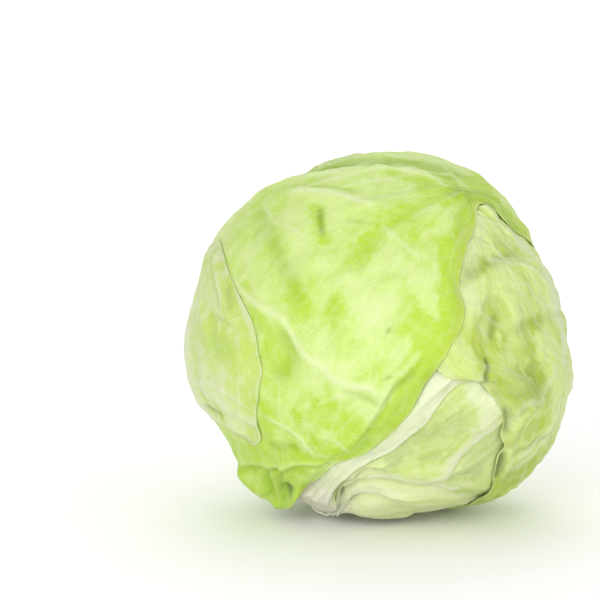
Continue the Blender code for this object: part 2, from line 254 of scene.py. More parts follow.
def rays_of(directions: np.ndarray) -> np.ndarray:
    """Turns directions of the front view into rays out of the head's middle.

    Args:
        directions: Unit vectors of the front view.

    Returns:
        Unit vectors in the head's own X, Y and Z.
    """
    reach = at_bearing(OUTLINE_RADII, np.arctan2(directions[..., 1], directions[..., 0]))
    return unit(to_world(directions * np.stack((reach, reach, np.full_like(reach, HALF_DEPTH)), axis=-1)))


def curve_through(points: np.ndarray, count: int, gather: float = 1.0) -> np.ndarray:
    """A smooth curve on the unit sphere.

    Args:
        points: Unit vectors that the curve passes through.
        count: How many points to return.
        gather: 1 for equal distances, more to bring them closer together at the start.

    Returns:
        Unit vectors along the curve.
    """
    chords = np.linalg.norm(np.diff(points, axis=0), axis=1)
    knots = np.concatenate(((0.0,), np.cumsum(chords)))
    slopes = np.gradient(points, knots, axis=0)
    fine = np.linspace(0, knots[-1], CURVE_STEPS * count)
    span = np.clip(np.searchsorted(knots, fine, side="right") - 1, 0, len(chords) - 1)
    width = chords[span][:, None]
    part = ((fine - knots[span]) / chords[span])[:, None]
    curve = unit(
        points[span] * (1 + 2 * part) * (1 - part) ** 2
        + slopes[span] * width * part * (1 - part) ** 2
        + points[span + 1] * part**2 * (3 - 2 * part)
        + slopes[span + 1] * width * part**2 * (part - 1)
    )
    run = np.concatenate(((0.0,), np.cumsum(np.linalg.norm(np.diff(curve, axis=0), axis=1))))
    wanted = run[-1] * np.linspace(0, 1, count) ** gather
    return unit(np.stack([np.interp(wanted, run, curve[:, axis]) for axis in range(3)], axis=-1))


def between(start: np.ndarray, end: np.ndarray, part: float) -> np.ndarray:
    """Directions part of the way from start to end, along great circles.

    Args:
        start: Unit vectors.
        end: Unit vectors of the same shape.
        part: From 0 at start to 1 at end.

    Returns:
        Unit vectors.
    """
    angle = np.arccos(np.clip((start * end).sum(axis=-1, keepdims=True), -1, 1)) + TINY
    return (np.sin((1 - part) * angle) * start + np.sin(part * angle) * end) / np.sin(angle)


def foot(around: float) -> np.ndarray:
    """Where a leaf starts on the ring round the stem.

    Args:
        around: The angle round the stem in degrees: 0 toward the front, 90 to the right.

    Returns:
        A unit vector of the front view.
    """
    bearing, turn = STEM_PLACE
    front, right = direction((bearing, turn - 90)), direction((bearing + 90, 90))
    side = math.cos(math.radians(around)) * front + math.sin(math.radians(around)) * right
    return math.cos(FOOT_RING) * direction(STEM_PLACE) + math.sin(FOOT_RING) * side


def smooth(values: np.ndarray, times: int) -> np.ndarray:
    """Averages a grid of values with its neighbours.

    Args:
        values: A grid of numbers.
        times: How often to repeat it.

    Returns:
        The smoothed grid.
    """
    for _ in range(times):
        padded = np.pad(values, 1, mode="edge")
        along = (padded[:-2] + 2 * padded[1:-1] + padded[2:]) / 4
        values = (along[:, :-2] + 2 * along[:, 1:-1] + along[:, 2:]) / 4
    return values


def draped(values: np.ndarray, times: int) -> np.ndarray:
    """Spans the hollows of a grid of radii as a stiff sheet would, and nowhere goes under them.

    Args:
        values: A grid of radii.
        times: How stiff the sheet is.

    Returns:
        The sheet's radii.
    """
    sheet = values
    for _ in range(times):
        sheet = np.maximum(smooth(sheet, 1), values)
    return smooth(sheet, 2)


def ramp(values: np.ndarray, low: float, high: float) -> np.ndarray:
    """Eases from 0 at low to 1 at high.

    Args:
        values: Any numbers.
        low: Where the ramp starts.
        high: Where it ends.

    Returns:
        Numbers from 0 to 1.
    """
    part = np.clip((values - low) / (high - low), 0, 1)
    return part * part * (3 - 2 * part)


def rise_from(start: float, values: np.ndarray, low: float, high: float) -> np.ndarray:
    """Eases from start at low to 1 at high."""
    return start + (1 - start) * ramp(values, low, high)


def bell(distance: np.ndarray, width: float | np.ndarray) -> np.ndarray:
    """A rounded bump: 1 at distance 0, falling to a third at the width."""
    return np.exp(-((distance / width) ** 2))


def stem_angle(directions: np.ndarray) -> np.ndarray:
    """The angle in radians between each direction and the stem's."""
    return np.arccos(np.clip(directions @ direction(STEM_PLACE), -1, 1))


def noise_over(points: np.ndarray, scale: float, shift: Vector, kind: Noise) -> np.ndarray:
    """Fractal noise at many points.

    Args:
        points: Points, one row each.
        scale: How fine the noise is.
        shift: What sets it apart from other noise of its kind.
        kind: Its kind.

    Returns:
        Values from about -1 to 1.
    """
    return np.array([noise.fractal(Vector(point) * scale + shift, *kind) for point in points])


class Mark(Enum):
    """What a stroke on a leaf is: how pale it makes it, how much painted shade it adds, and how green."""

    VEIN = (1.0, 0.0, 0.0)
    STREAK = (0.7, 0.0, 0.0)
    RIDGE = (0.15, 0.0, 0.0)
    RIM = (0.35, 0.0, 0.0)
    # A groove, with a little painted shade in it, a little greener
    GROOVE = (0.0, 0.3, 0.3)
    # A crease, darkened with painted shade
    CREASE = (0.0, 1.0, 0.0)
    # A patch of painted shade, a little greener, with no relief of its own
    BLOTCH = (0.0, 0.6, 0.3)
    GREEN = (0.0, 0.0, 1.0)


@dataclass(frozen=True)
class Stroke:
    """A line over a leaf, such as a vein or a crease.

    Attributes:
        mark: What it is.
        places: The places that it passes through.
        width: Its half width in millimetres.
        height: How far it stands out in millimetres; negative for a groove.
        strength: How strongly it colours the leaf.
    """

    mark: Mark
    places: tuple[Place, ...]
    width: float
    height: float = 0.0
    strength: float = 1.0

    def line(self) -> np.ndarray:
        """The stroke's own line.

        Returns:
            Directions half a millimetre apart, or the only one.
        """
        points = np.array([direction(place) for place in self.places])
        if len(points) == 1:
            return points
        length = np.linalg.norm(np.diff(points, axis=0), axis=1).sum() * SURFACE_RADIUS
        return curve_through(points, max(STROKE_POINTS, round(length / STROKE_STEP)))

    def weights(self, directions: np.ndarray) -> np.ndarray:
        """How much each direction belongs to the stroke.

        Args:
            directions: Unit vectors, one row each.

        Returns:
            From 0 far away to 1 on the stroke, fading toward its ends.
        """
        line = self.line()
        width = self.width * MM / SURFACE_RADIUS
        centre = unit(line.mean(axis=0))
        spread = math.acos(float(np.clip((line @ centre).min(), -1, 1))) + STROKE_REACH * width
        near = np.flatnonzero(directions @ centre > math.cos(min(spread, math.pi)))
        found = np.zeros(len(directions))
        if not len(near):
            return found
        facing = directions[near] @ line.T
        away = np.arccos(np.clip(facing.max(axis=1), -1, 1))
        if self.mark in (Mark.GREEN, Mark.BLOTCH, Mark.STREAK):
            fray = noise_over(directions[near], PATCH_SCALE, Vector(), PATCH_NOISE)
            found[near] = 1 - ramp(away / width + PATCH_FRAY * fray, *PATCH_FADE)
            return found
        found[near] = bell(away, width)
        if len(line) > 1:
            part = facing.argmax(axis=1) / (len(line) - 1)
            found[near] *= ramp(np.minimum(part, 1 - part), *END_FADE)
        return found


class Head:
    """What is laid so far, seen from outside along rays out of the head's middle."""

    def __init__(self) -> None:
        """Starts an empty head."""
        self.middle = Vector((0.0, 0.0, MIDDLE_HEIGHT))
        self.far = 3 * SURFACE_RADIUS
        self.trees: list[Tree] = []

    def tree_of(self, obj: bpy.types.Object) -> Tree:
        """Makes an object ready for rays.

        Args:
            obj: A mesh object at the origin.

        Returns:
            Its tree, the ray to its middle, and the cosine of the cone that holds it.
        """
        mesh = obj.data
        points = np.empty(len(mesh.vertices) * 3)
        mesh.vertices.foreach_get("co", points)
        points = points.reshape(-1, 3)
        faces = [tuple(face.vertices) for face in mesh.polygons]
        rays = unit(points - np.array(self.middle))
        mean = rays.mean(axis=0)
        centre = unit(mean) if np.linalg.norm(mean) > CLOSED_MEAN else np.array((0.0, 0.0, 1.0))
        reach = float((rays @ centre).min()) - CONE_MARGIN
        return BVHTree.FromPolygons(points.tolist(), faces), centre, reach

    def add(self, obj: bpy.types.Object) -> None:
        """Lays one more piece."""
        self.trees.append(self.tree_of(obj))

    def cast(self, tree: Tree, rays: np.ndarray) -> np.ndarray:
        """Where rays from outside first meet one piece.

        Args:
            tree: What tree_of returned.
            rays: Unit vectors, one row each.

        Returns:
            A radius for each ray, and 0 where it misses.
        """
        bvh, centre, reach = tree
        found = np.zeros(len(rays))
        for index in np.flatnonzero(rays @ centre >= reach):
            ray = Vector(rays[index])
            hit = bvh.ray_cast(self.middle + ray * self.far, -ray, self.far)
            if hit[0] is not None:
                found[index] = self.far - hit[3]
        return found

    def support(self, rays: np.ndarray) -> np.ndarray:
        """How far out what is laid reaches.

        Args:
            rays: Unit vectors, one row each.

        Returns:
            A radius for each ray, and 0 where nothing is laid.
        """
        found = np.zeros(len(rays))
        for tree in self.trees:
            found = np.maximum(found, self.cast(tree, rays))
        return found


class Nodes:
    """A new material and a shorthand for its nodes."""

    def __init__(self, name: str, plain: Colour) -> None:
        """Makes the material, with its Principled shader.

        Args:
            name: The material's name.
            plain: Its colour where nodes aren't shown.
        """
        self.material = bpy.data.materials.new(name)
        self.material.use_nodes = True
        self.material.diffuse_color = (*plain, 1.0)
        self.tree = self.material.node_tree
        self.shader = self.tree.nodes["Principled BSDF"]

    def add(self, kind: str) -> bpy.types.Node:
        """Adds a node of that kind."""
        return self.tree.nodes.new(kind)

    def link(self, source: bpy.types.NodeSocket, target: bpy.types.NodeSocket) -> None:
        """Joins two sockets."""
        self.tree.links.new(source, target)

    def feed(self, socket: bpy.types.NodeSocket, value: Value) -> None:
        """Links a socket, or sets its value.

        Args:
            socket: The input to fill.
            value: Another node's output, a number or a colour.
        """
        if isinstance(value, bpy.types.NodeSocket):
            self.link(value, socket)
        elif isinstance(value, tuple) and len(value) == 3 and len(socket.default_value) == 4:
            socket.default_value = (*value, 1.0)
        else:
            socket.default_value = value

    def dress(self, values: dict[str, Value]) -> None:
        """Fills the shader's own inputs by their names."""
        for name, value in values.items():
            self.feed(self.shader.inputs[name], value)

    def bump(self, height: bpy.types.NodeSocket, strength: float, distance: float) -> None:
        """Gives the skin its bump.

        Args:
            height: The height's socket.
            strength: How strong the bump is, from 0 to 1.
            distance: How high 1 stands, in metres.
        """
        node = self.add("ShaderNodeBump")
        node.inputs["Strength"].default_value = strength
        node.inputs["Distance"].default_value = distance
        self.link(height, node.inputs["Height"])
        self.link(node.outputs["Normal"], self.shader.inputs["Normal"])

    def maths(self, operation: str, first: Value, second: Value) -> bpy.types.NodeSocket:
        """One calculation with two numbers.

        Args:
            operation: Blender's name for it.
            first: A number or a socket.
            second: A number or a socket.

        Returns:
            The result's socket.
        """
        node = self.add("ShaderNodeMath")
        node.operation = operation
        self.feed(node.inputs[0], first)
        self.feed(node.inputs[1], second)
        return node.outputs[0]

    def times(self, first: Value, second: Value) -> bpy.types.NodeSocket:
        """The product of two numbers."""
        return self.maths("MULTIPLY", first, second)

    def plus(self, first: Value, second: Value) -> bpy.types.NodeSocket:
        """The sum of two numbers."""
        return self.maths("ADD", first, second)

    def mix(self, factor: Value, first: Value, second: Value) -> bpy.types.NodeSocket:
        """Mixes two colours.

        Args:
            factor: How much of the second.
            first: A colour or a socket.
            second: A colour or a socket.

        Returns:
            The mixed colour's socket.
        """
        node = self.add("ShaderNodeMix")
        node.data_type = "RGBA"
        self.feed(node.inputs["Factor"], factor)
        self.feed(node.inputs[6], first)
        self.feed(node.inputs[7], second)
        return node.outputs[2]

    def shifted(self, place: Value, wander: Value, amount: float) -> bpy.types.NodeSocket:
        """Moves a place a little by a noise.

        Args:
            place: The place's socket.
            wander: The noise's socket.
            amount: How far, in metres.

        Returns:
            The moved place's socket.
        """
        node = self.add("ShaderNodeVectorMath")
        node.operation = "MULTIPLY_ADD"
        self.feed(node.inputs[0], wander)
        node.inputs[1].default_value = (amount, amount, amount)
        self.feed(node.inputs[2], place)
        return node.outputs[0]

    def noise(self, place: Value, scale: float, detail: float, rough: float = 0.5) -> bpy.types.NodeSocket:
        """A cloudy noise.

        Args:
            place: The place's socket.
            scale: Features to a metre.
            detail: How many octaves.
            rough: How strong the finer octaves are.

        Returns:
            The noise's socket, from 0 to 1.
        """
        node = self.add("ShaderNodeTexNoise")
        self.feed(node.inputs["Vector"], place)
        node.inputs["Scale"].default_value = scale
        node.inputs["Detail"].default_value = detail
        node.inputs["Roughness"].default_value = rough
        return node.outputs[0]

    def fibres(self, across: float, along: float) -> bpy.types.NodeSocket:
        """Fine streaks along the leaf.

        Args:
            across: About how many lie side by side over the leaf's width.
            along: About how many follow each other over its length.

        Returns:
            The streaks' socket, from 0 to 1.
        """
        place = self.add("ShaderNodeUVMap")
        place.uv_map = "leaf"
        stretched = self.add("ShaderNodeVectorMath")
        stretched.operation = "MULTIPLY"
        self.link(place.outputs["UV"], stretched.inputs[0])
        stretched.inputs[1].default_value = (across, along, 1.0)
        return self.noise(stretched.outputs[0], scale=1.0, detail=4.0, rough=0.6)

    def cells(self, place: Value, scale: float) -> bpy.types.NodeSocket:
        """The distance to the edge of cells, which is 0 on a net of lines.

        Args:
            place: The place's socket.
            scale: Cells to a metre.

        Returns:
            The distance's socket.
        """
        node = self.add("ShaderNodeTexVoronoi")
        node.feature = "DISTANCE_TO_EDGE"
        self.feed(node.inputs["Vector"], place)
        node.inputs["Scale"].default_value = scale
        return node.outputs["Distance"]

    def spread(self, value: Value, low: float, high: float) -> bpy.types.NodeSocket:
        """Spreads a value's range from low and high to 0 and 1.

        Args:
            value: The value's socket.
            low: What becomes 0.
            high: What becomes 1.

        Returns:
            The new value's socket.
        """
        node = self.add("ShaderNodeMapRange")
        node.interpolation_type = "SMOOTHSTEP"
        self.feed(node.inputs["Value"], value)
        node.inputs["From Min"].default_value = low
        node.inputs["From Max"].default_value = high
        return node.outputs["Result"]

    def attribute(self, name: str) -> bpy.types.NodeSocket:
        """A number that the mesh carries at its points.

        Args:
            name: The attribute's name.

        Returns:
            The number's socket.
        """
        node = self.add("ShaderNodeAttribute")
        node.attribute_name = name
        return node.outputs["Fac"]


@dataclass(frozen=True)
class LeafFinish:
    """The finish of one kind of leaf.

    Attributes:
        name: The material's name.
        slot: A material slot's name; not used.
        blade: The blade's usual colour.
        deep: Its deeper colour in the mottles and folds.
        shade: The colour of the painted shade in its creases, grooves and shade patches.
        vein: The colour of its veins and ribs.
        base: The colour of its whitish base.
        mottle: How strongly the deeper colour comes through.
        small_mottle: The share of the small mottles beside the broad ones.
        patch: How green a green patch is, and how much the small mottles add to it.
        fleck: How clearly the flecks show.
        net: How clearly the finest veins show.
        finer_net: The share of the finer ones among them.
        fibre: How clearly the fine streaks along the leaf show.
        roughness: The skin's roughness.
        rough_mottle: How much rougher the small mottles are.
        bump: The strength of its bump.
        bump_height: The bump's height in metres.
        fleck_height: The share of the flecks in it.
        fibre_height: The share of the streaks in it.
        gloss: How strongly it reflects.
        glow: How much light passes through it.
        glow_radius: How far red, green and blue light do so.
        glow_depth: How deep light goes in, in metres.
    """

    name: str
    slot: str
    blade: Colour
    deep: Colour
    shade: Colour
    vein: Colour
    base: Colour = (0.78, 0.78, 0.60)
    mottle: float = 0.5
    small_mottle: float = 0.6
    patch: tuple[float, float] = (0.85, 0.4)
    fleck: float = 0.10
    net: float = 0.2
    finer_net: float = 0.45
    fibre: float = 0.22
    roughness: float = 0.42
    rough_mottle: float = 0.12
    bump: float = 0.35
    bump_height: float = 0.0005
    fleck_height: float = 0.35
    fibre_height: float = 3.0
    gloss: float = 0.38
    glow: float = 0.18
    glow_radius: Colour = (0.6, 1.0, 0.25)
    glow_depth: float = 0.004

    def build(self) -> bpy.types.Material:
        """Makes the material.

        Returns:
            A Principled material whose colour and bump follow the leaf's own veins, with painted shade in
            its creases.
        """
        tree = Nodes(self.name, self.blade)
        place = tree.add("ShaderNodeTexCoord").outputs["Object"]
        shifted = tree.shifted(place, tree.noise(place, scale=55.0, detail=3.0), amount=0.006)
        broad = tree.spread(tree.noise(place, scale=26.0, detail=4.0, rough=0.62), low=0.42, high=0.66)
        small = tree.spread(tree.noise(place, scale=105.0, detail=5.0, rough=0.68), low=0.40, high=0.70)
        fleck = tree.spread(tree.noise(shifted, scale=420.0, detail=3.0, rough=0.6), low=0.45, high=0.75)
        fine = tree.spread(tree.cells(shifted, scale=255.0), low=0.085, high=0.0)
        finer = tree.spread(tree.cells(shifted, scale=620.0), low=0.10, high=0.0)
        fibres = tree.fibres(across=46.0, along=5.0)
        network = tree.maths("MAXIMUM", fine, tree.times(finer, self.finer_net))
        mottle = tree.times(tree.plus(broad, tree.times(small, self.small_mottle)), self.mottle)
        patch, more = self.patch
        green = tree.times(tree.attribute("green"), tree.plus(tree.times(small, more), patch))
        colour = self.blade
        for share, tint in (
            (tree.maths("MINIMUM", tree.plus(mottle, green), 1.0), self.deep),
            (tree.times(fleck, self.fleck), self.vein),
            (tree.times(network, self.net), self.vein),
            (tree.times(tree.spread(fibres, low=0.50, high=0.72), self.fibre), self.vein),
            (tree.times(tree.spread(fibres, low=0.50, high=0.28), self.fibre), self.deep),
            (tree.attribute("net"), self.vein),
            # Painted shade: creases, grooves and shade patches are darkened toward the shade colour
            (tree.attribute("painted_shade"), self.shade),
            (tree.attribute("pale"), self.vein),
            (tree.attribute("base"), self.base),
        ):
            colour = tree.mix(share, colour, tint)
        height = tree.plus(network, tree.times(fleck, self.fleck_height))
        height = tree.plus(height, tree.times(fibres, self.fibre_height * self.fibre))
        tree.bump(height, self.bump, self.bump_height)
        tree.dress({
            "Base Color": colour,
            "Roughness": tree.plus(tree.times(small, self.rough_mottle), self.roughness),
            "Specular IOR Level": self.gloss,
            "Subsurface Weight": self.glow,
            "Subsurface Radius": self.glow_radius,
            "Subsurface Scale": self.glow_depth,
        })
        return tree.material


@dataclass(frozen=True)
class StemFinish:
    """The dry, pinkish flesh of the cut stem.

    Attributes:
        name: The material's name.
        slot: A material slot's name; not used.
        plain: Its colour where nodes aren't shown.
        flesh: Its usual colour.
        dull: Its colour in broad patches.
        fleck: The colour of its grain.
        grain: How clearly the grain shows.
        roughness: Its roughness.
        bump: The strength of its bump.
        bump_height: The bump's height in metres.
        glow: How much light passes through it.
        glow_depth: How deep light goes in, in metres.
    """

    name: str = "stem_flesh_skin"
    slot: str = "stem_flesh"
    plain: Colour = (0.76, 0.72, 0.58)
    flesh: Colour = (0.81, 0.77, 0.65)
    dull: Colour = (0.73, 0.68, 0.54)
    fleck: Colour = (0.50, 0.43, 0.30)
    grain: float = 0.25
    roughness: float = 0.62
    bump: float = 0.5
    bump_height: float = 0.0005
    glow: float = 0.15
    glow_depth: float = 0.004

    def build(self) -> bpy.types.Material:
        """Makes the material.

        Returns:
            A Principled material with broad patches and a fine grain.
        """
        tree = Nodes(self.name, self.plain)
        place = tree.add("ShaderNodeTexCoord").outputs["Object"]
        broad = tree.spread(tree.noise(place, scale=90.0, detail=4.0, rough=0.6), low=0.38, high=0.68)
        grain = tree.noise(place, scale=700.0, detail=3.0, rough=0.6)
        colour = tree.mix(broad, self.flesh, self.dull)
        colour = tree.mix(tree.times(tree.spread(grain, low=0.5, high=0.75), self.grain), colour, self.fleck)
        tree.bump(grain, self.bump, self.bump_height)
        tree.dress({
            "Base Color": colour,
            "Roughness": self.roughness,
            "Subsurface Weight": self.glow,
            "Subsurface Scale": self.glow_depth,
        })
        return tree.material


@dataclass(frozen=True)
class FloorFinish:
    """The floor's white paper.

    Attributes:
        name: The material's name.
        colour: Its colour.
        roughness: Its roughness.
        gloss: How strongly it reflects.
    """

    name: str = "floor_paper"
    colour: Colour = (0.96, 0.96, 0.96)
    roughness: float = 0.9
    gloss: float = 0.1

    def build(self) -> bpy.types.Material:
        """Makes the material.

        Returns:
            A plain Principled material.
        """
        tree = Nodes(self.name, self.colour)
        tree.dress({
            "Base Color": self.colour,
            "Roughness": self.roughness,
            "Specular IOR Level": self.gloss,
        })
        return tree.material


FRONT_FINISH = LeafFinish(
    name="front_leaf_skin",
    slot="front_leaf_blade",
    blade=(0.565, 0.715, 0.235),
    deep=(0.412, 0.600, 0.026),
    shade=(0.150, 0.280, 0.012),
    vein=(0.640, 0.740, 0.390),
    net=0.12,
)
PALE_FINISH = LeafFinish(
    name="pale_leaf_skin",
    slot="pale_leaf_blade",
    blade=(0.575, 0.710, 0.200),
    deep=(0.400, 0.520, 0.040),
    shade=(0.130, 0.200, 0.014),
    vein=(0.655, 0.718, 0.505),
    mottle=0.28,
    net=0.1,
    fibre=0.25,
)
LEFT_FINISH = LeafFinish(
    name="left_leaf_skin",
    slot="pale_leaf_blade",
    blade=(0.600, 0.690, 0.330),
    deep=(0.460, 0.620, 0.100),
    shade=(0.180, 0.280, 0.030),
    vein=(0.640, 0.690, 0.490),
    net=0.1,
    fibre=0.4,
)
BACK_FINISH = LeafFinish(
    name="back_leaf_skin",
    slot="back_leaf_blade",
    blade=(0.510, 0.640, 0.240),
    deep=(0.370, 0.530, 0.080),
    shade=(0.150, 0.260, 0.014),
    vein=(0.610, 0.690, 0.400),
    fibre=0.4,
)
BASE_FINISH = LeafFinish(
    name="leaf_base_skin",
    slot="leaf_base",
    blade=(0.595, 0.695, 0.265),
    deep=(0.485, 0.605, 0.140),
    shade=(0.160, 0.205, 0.040),
    vein=(0.740, 0.790, 0.590),
    base=(0.800, 0.770, 0.640),
    mottle=0.4,
    net=0.06,
    fibre=0.38,
)
# A lighter copy of the base finish for the two lowest base leaves, which face down: painted light standing
# in for light from below
PAINTED_LIGHT_LOW_BASE_FINISH = replace(
    BASE_FINISH,
    name="low_leaf_base_painted_light_skin",
    blade=(0.730, 0.800, 0.420),
    deep=(0.610, 0.710, 0.260),
    base=(0.830, 0.800, 0.680),
)
INNER_FINISH = LeafFinish(
    name="inner_leaf_skin",
    slot="head_leaf_blade",
    blade=(0.560, 0.640, 0.270),
    deep=(0.480, 0.580, 0.180),
    shade=(0.280, 0.350, 0.060),
    vein=(0.640, 0.690, 0.450),
    mottle=0.4,
)


@dataclass
class Leaf:
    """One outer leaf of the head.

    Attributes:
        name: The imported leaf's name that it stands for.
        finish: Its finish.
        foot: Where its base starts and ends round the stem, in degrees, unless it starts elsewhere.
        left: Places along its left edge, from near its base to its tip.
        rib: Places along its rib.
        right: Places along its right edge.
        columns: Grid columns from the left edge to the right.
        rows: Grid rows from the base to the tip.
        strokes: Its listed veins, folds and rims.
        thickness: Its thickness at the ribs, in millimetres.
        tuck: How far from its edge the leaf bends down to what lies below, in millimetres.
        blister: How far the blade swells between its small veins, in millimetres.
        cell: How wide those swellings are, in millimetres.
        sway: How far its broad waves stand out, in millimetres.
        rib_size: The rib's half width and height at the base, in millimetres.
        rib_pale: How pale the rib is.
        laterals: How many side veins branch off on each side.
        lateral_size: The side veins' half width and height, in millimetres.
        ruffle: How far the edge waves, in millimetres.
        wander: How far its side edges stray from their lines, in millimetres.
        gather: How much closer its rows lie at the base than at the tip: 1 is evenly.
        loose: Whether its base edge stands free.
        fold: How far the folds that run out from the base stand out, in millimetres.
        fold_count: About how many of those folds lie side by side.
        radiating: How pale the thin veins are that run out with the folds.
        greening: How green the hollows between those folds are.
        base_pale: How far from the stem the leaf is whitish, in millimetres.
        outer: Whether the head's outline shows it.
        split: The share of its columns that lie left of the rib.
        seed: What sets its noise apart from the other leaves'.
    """

    name: str
    finish: LeafFinish
    foot: tuple[float, float] | None
    left: tuple[Place, ...]
    rib: tuple[Place, ...]
    right: tuple[Place, ...]
    columns: int = 120
    rows: int = 120
    strokes: tuple[Stroke, ...] = ()
    thickness: float = 1.1
    tuck: float = 12.0
    blister: float = 0.35
    cell: float = 11.0
    sway: float = 0.5
    rib_size: tuple[float, float] = (7.0, 2.0)
    rib_pale: float = 0.8
    laterals: int = 7
    lateral_size: tuple[float, float] = (1.3, 0.6)
    ruffle: float = 0.25
    wander: float = 0.5
    gather: float = 1.0
    loose: bool = False
    fold: float = 1.0
    fold_count: float = 7.0
    radiating: float = 0.35
    greening: float = 0.5
    base_pale: float = 28.0
    outer: bool = False
    split: float = 0.5
    seed: float = 0.0

    def build(self, head: Head) -> bpy.types.Object:
        """Lays the leaf on the head.

        Args:
            head: What is laid so far; the leaf is added to it.

        Returns:
            The finished piece.
        """
        directions = self.grid_directions()
        shape = directions.shape[:2]
        rays = rays_of(directions.reshape(-1, 3))
        across, along, edge = self.measures(directions)
        relief, marks = self.relief(directions, rays, across, along, edge)
        thickness = self.thickness * MM * rise_from(THIN_SHARE, edge, 0.0, THIN_REACH)
        outer = self.laid(head, directions, rays, relief, edge, thickness)
        points = np.array(head.middle) + rays * outer.reshape(-1, 1)
        piece, order = self.sheet(points, shape)
        self.store(piece, marks, order)
        self.solidify(piece, thickness.ravel()[order])
        piece.data.materials.append(self.finish.build())
        piece.data.update()
        head.add(piece)
        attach(piece, "root")
        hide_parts(self.name)
        return piece

    def laid(
        self,
        head: Head,
        directions: np.ndarray,
        rays: np.ndarray,
        relief: np.ndarray,
        edge: np.ndarray,
        thickness: np.ndarray,
    ) -> np.ndarray:
        """Lays the leaf's outer side over what is there.

        Args:
            head: What is laid so far.
            directions: The leaf's grid.
            rays: The grid's rays.
            relief: Its relief in metres.
            edge: Distances from the nearest edge.
            thickness: The thickness at each point in metres.

        Returns:
            A grid of radii.
        """
        shape = edge.shape
        radius = self.followed(head, rays, shape)
        if self.outer:
            outline = 1 - ramp(np.abs(directions[..., 2]), 0.0, OUTLINE_REACH)
            radius += outline * at_bearing(OUTLINE_STAND, np.arctan2(directions[..., 1], directions[..., 0]))
        past_ring = stem_angle(directions) - FOOT_RING
        skirt = SKIRT_RADIUS * (1 - SKIRT_FALL * past_ring / SKIRT_REACH) * (past_ring < SKIRT_REACH)
        clear = np.maximum(head.support(rays).reshape(shape), skirt) + thickness + GAP
        tucked = draped(clear, TUCK_ROUNDS)
        lifted = draped(np.maximum(radius, clear), SHEET_ROUNDS)
        held = ramp(edge, 0.0, self.tuck * MM)
        if self.foot:
            root = rise_from(ROOT_SHARE, past_ring * SURFACE_RADIUS, 0.0, ROOT_REACH)
            held, relief = held * root, relief * root
        outer = tucked + (lifted - tucked) * held + relief
        outer = np.maximum(smooth(outer, 1), clear)
        fall = np.maximum(-rays[:, 2], LEAST_FALL).reshape(shape)
        above_floor = GAP * max(0, LAID_BEFORE_REST - len(head.trees))
        return np.minimum(outer, (MIDDLE_HEIGHT - above_floor) / fall)

    @property
    def rib_column(self) -> int:
        """The grid's column that the rib runs along."""
        return round(self.columns * self.split)

    def grid_directions(self) -> np.ndarray:
        """Spreads the leaf's grid between its three lines.

        Returns:
            Directions, row by row from base to tip and from the left edge to the right.
        """
        lines = []
        for share, places in enumerate((self.left, self.rib, self.right)):
            points = [direction(place) for place in places]
            if self.foot:
                points.insert(0, foot(self.foot[0] + (self.foot[1] - self.foot[0]) * share / 2))
            line = curve_through(np.array(points), self.rows + 1, self.gather)
            lines.append(line if share == 1 else self.strayed(line, share))
        left = self.rib_column
        right = self.columns - left
        parts = [between(lines[0], lines[1], column / left) for column in range(left)]
        parts += [between(lines[1], lines[2], column / right) for column in range(right + 1)]
        return np.stack(parts, axis=1)

    def strayed(self, line: np.ndarray, side: int) -> np.ndarray:
        """Lets a side edge stray from its smooth line.

        Args:
            line: Directions along the edge.
            side: 0 for the left edge, 2 for the right one.

        Returns:
            The directions of the uneven edge.
        """
        steps = np.linalg.norm(np.diff(line, axis=0), axis=1) * SURFACE_RADIUS
        run = np.concatenate(((0.0,), np.cumsum(steps)))
        places = (Vector((distance / STRAY_LENGTH, self.seed, side)) for distance in run)
        offsets = np.array([noise.fractal(place, *STRAY_NOISE) for place in places])
        fade = ramp(np.minimum(run, run[-1] - run), *STRAY_FADE)
        sideways = np.cross(unit(np.gradient(line, axis=0)), line)
        return unit(line + sideways * (offsets * fade * self.wander * MM / SURFACE_RADIUS)[:, None])

    def followed(self, head: Head, rays: np.ndarray, shape: tuple[int, int]) -> np.ndarray:
        """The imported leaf's outer radius at each point, without its facets.

        Args:
            head: The head, for its middle.
            rays: One ray for each point.
            shape: The grid's rows and columns.

        Returns:
            A grid of radii.
        """
        found = head.cast(head.tree_of(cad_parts[self.name]), rays).reshape(shape)
        share = smooth((found > 0).astype(float), FACET_ROUNDS) + TINY
        radius = smooth(found, FACET_ROUNDS) / share
        for _ in range(FILL_ROUNDS):
            missed = share < LEAST_SHARE
            if not missed.any():
                break
            filled = smooth((~missed).astype(float), FACET_ROUNDS) + TINY
            radius = np.where(missed, smooth(np.where(missed, 0.0, radius), FACET_ROUNDS) / filled, radius)
            share = np.where(missed, filled, share)
        return radius

    def measures(self, directions: np.ndarray) -> tuple[np.ndarray, np.ndarray, np.ndarray]:
        """Where each point is within the leaf.

        Args:
            directions: The leaf's grid.

        Returns:
            The signed distance from the rib, the distance from the base and the distance from the nearest
            edge, all in metres along the leaf.
        """
        steps = np.linalg.norm(np.diff(directions, axis=1), axis=2) * SURFACE_RADIUS
        run = np.concatenate((np.zeros((len(steps), 1)), np.cumsum(steps, axis=1)), axis=1)
        across = run - run[:, self.rib_column][:, None]
        rises = np.linalg.norm(np.diff(directions, axis=0), axis=2) * SURFACE_RADIUS
        along = np.concatenate((np.zeros((1, rises.shape[1])), np.cumsum(rises, axis=0)), axis=0)
        edge = np.minimum(run, run[:, -1:] - run)
        edge = np.minimum(edge, along[-1] - along)
        if not self.foot and not self.loose:
            edge = np.minimum(edge, along)
        return across, along, edge

